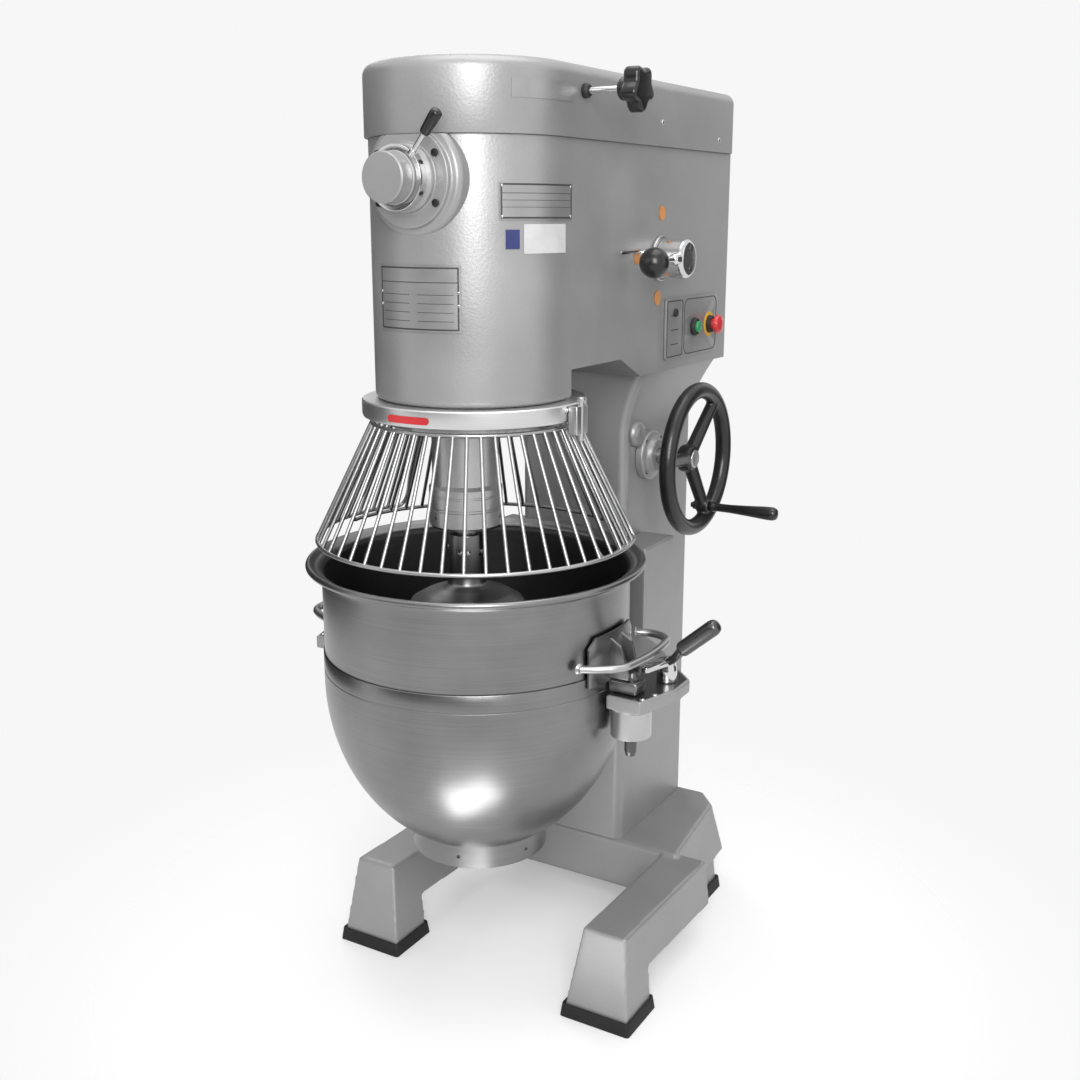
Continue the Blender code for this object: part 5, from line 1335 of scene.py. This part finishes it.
def backdrop_rays(tree):
    """1 for rays that see the background itself, and 0 for the light that it gives."""
    path = tree.nodes.new("ShaderNodeLightPath")
    total = path.outputs["Is Camera Ray"]
    for name in ("Is Glossy Ray", "Is Transmission Ray"):
        pick = tree.nodes.new("ShaderNodeMath")
        pick.operation = 'MAXIMUM'
        tree.links.new(total, pick.inputs[0])
        tree.links.new(path.outputs[name], pick.inputs[1])
        total = pick.outputs[0]
    return total


def world():
    """A pale room: one even tone for the camera and reflections, another for its light."""
    room = bpy.data.worlds.new("studio")
    bpy.context.scene.world = room
    room.use_nodes = True
    tree = room.node_tree
    tree.nodes.clear()
    seen = tree.nodes.new("ShaderNodeBackground")
    light = tree.nodes.new("ShaderNodeBackground")
    seen.inputs["Color"].default_value = (BACKGROUND, BACKGROUND, BACKGROUND, 1.0)
    light.inputs["Color"].default_value = (1.0, 1.0, 1.0, 1.0)
    light.inputs["Strength"].default_value = ROOM_LIGHT
    mix = tree.nodes.new("ShaderNodeMixShader")
    tree.links.new(backdrop_rays(tree), mix.inputs["Fac"])
    tree.links.new(light.outputs[0], mix.inputs[1])
    tree.links.new(seen.outputs[0], mix.inputs[2])
    out = tree.nodes.new("ShaderNodeOutputWorld")
    tree.links.new(mix.outputs[0], out.inputs["Surface"])


def studio_floor():
    """A pale floor that fades into the background further off."""
    mesh = bmesh.new()
    bmesh.ops.create_circle(mesh, cap_ends=True, segments=96, radius=9.0)
    bmesh.ops.translate(mesh, verts=mesh.verts, vec=(0, 0, -0.0008))
    data = mesh_data("studio_floor", mesh)
    finish = Finish("studio_floor")
    sweep = finish.grain(0.8, 2.0)
    seen = finish.add("ShaderNodeLightPath", {}, {}, "Is Camera Ray")
    finish.surface(base_color=finish.between(sweep, grey(0.84), grey(0.86)), roughness=0.9,
                   emission_color=seen * FLOOR_GLOW, emission_strength=1.0)
    distance = finish.add("ShaderNodeVectorMath", {"operation": 'LENGTH'}, {0: finish.place}, "Value")
    fade = finish.add("ShaderNodeMapRange", {"interpolation_type": 'SMOOTHSTEP'},
                      {"Value": distance, "From Min": 0.15, "From Max": 1.2})
    clear = finish.add("ShaderNodeBsdfTransparent", {}, {})
    mix = finish.add("ShaderNodeMixShader", {}, {"Fac": fade, 1: Value(finish, finish.shader.outputs[0]),
                                                 2: clear})
    finish.feed(finish.tree.nodes["Material Output"].inputs["Surface"], mix)
    data.materials.append(finish.material)
    linked("studio_floor", data)


def softbox(name, place, aim, size, power):
    """A rectangular lamp that the camera doesn't see."""
    lamp = bpy.data.lights.new(name, 'AREA')
    lamp.shape = 'RECTANGLE'
    lamp.size, lamp.size_y = size
    lamp.energy = power
    obj = linked(name, lamp)
    obj.location = place
    obj.rotation_euler = (Vector(aim) - Vector(place)).to_track_quat('-Z', 'Y').to_euler()
    obj.visible_camera = False


def dark_card(name, level, start, end, low, high):
    """A dark upright screen beside the set that only reflections see."""
    mesh = bmesh.new()
    corners = ((*start, low), (*end, low), (*end, high), (*start, high))
    mesh.faces.new([mesh.verts.new(corner) for corner in corners])
    data = mesh_data(name, mesh)
    data.materials.append(moulded(name, grey(level), 0.9))
    card = linked(name, data)
    card.visible_camera = card.visible_diffuse = card.visible_shadow = False


def studio():
    """Room, floor, lamps and the dark cards that give metal its contrast."""
    world()
    studio_floor()
    softbox("key", (1.75, -2.8, 2.3), (0, 0, 1.0), (1.3, 1.9), power=78)
    softbox("side", (3.0, 0.8, 2.0), (0, 0, 0.9), (1.2, 2.0), power=4)
    softbox("fill", (-2.8, 2.4, 2.4), (0, 0, 0.9), (1.4, 2.0), power=26)
    softbox("top", (0.2, 0.0, 4.0), (0, 0, 0.8), (2.6, 2.6), power=44)
    softbox("low_reflector", (0.20, -0.58, 0.03), (0.20, -0.58, 1.00), (0.34, 0.22), power=1.2)
    dark_card("left_card", 0.05, (-2.2, -1.7), (-2.2, 1.9), 0.0, 2.6)
    dark_card("rear_left_card", 0.05, (-2.2, 1.9), (-0.3, 3.0), 0.0, 2.6)
    dark_card("rear_right_card", 0.08, (1.2, 3.2), (3.4, 1.2), 0.0, 2.6)
    dark_card("front_card", 0.10, (-2.6, -3.6), (3.8, -4.2), 0.25, 1.9)
    view = bpy.context.scene.view_settings
    view.view_transform = 'Standard'


# --- build -----------------------------------------------------------------------------------
camera()
base()
pads()
column()
head()
cover()
rear_cover()
collar()
guard()
plates()
hub()
hub_clutch()
control_panel()
buttons()
selector()
speed_knob()
planetary()
whisk()
bowl()
for side_name in HANDS:
    ear(side_name)
    bowl_handle(side_name)
    clamp(side_name)
yoke()
handwheel()
wheel_mount()
inner_works()
studio()
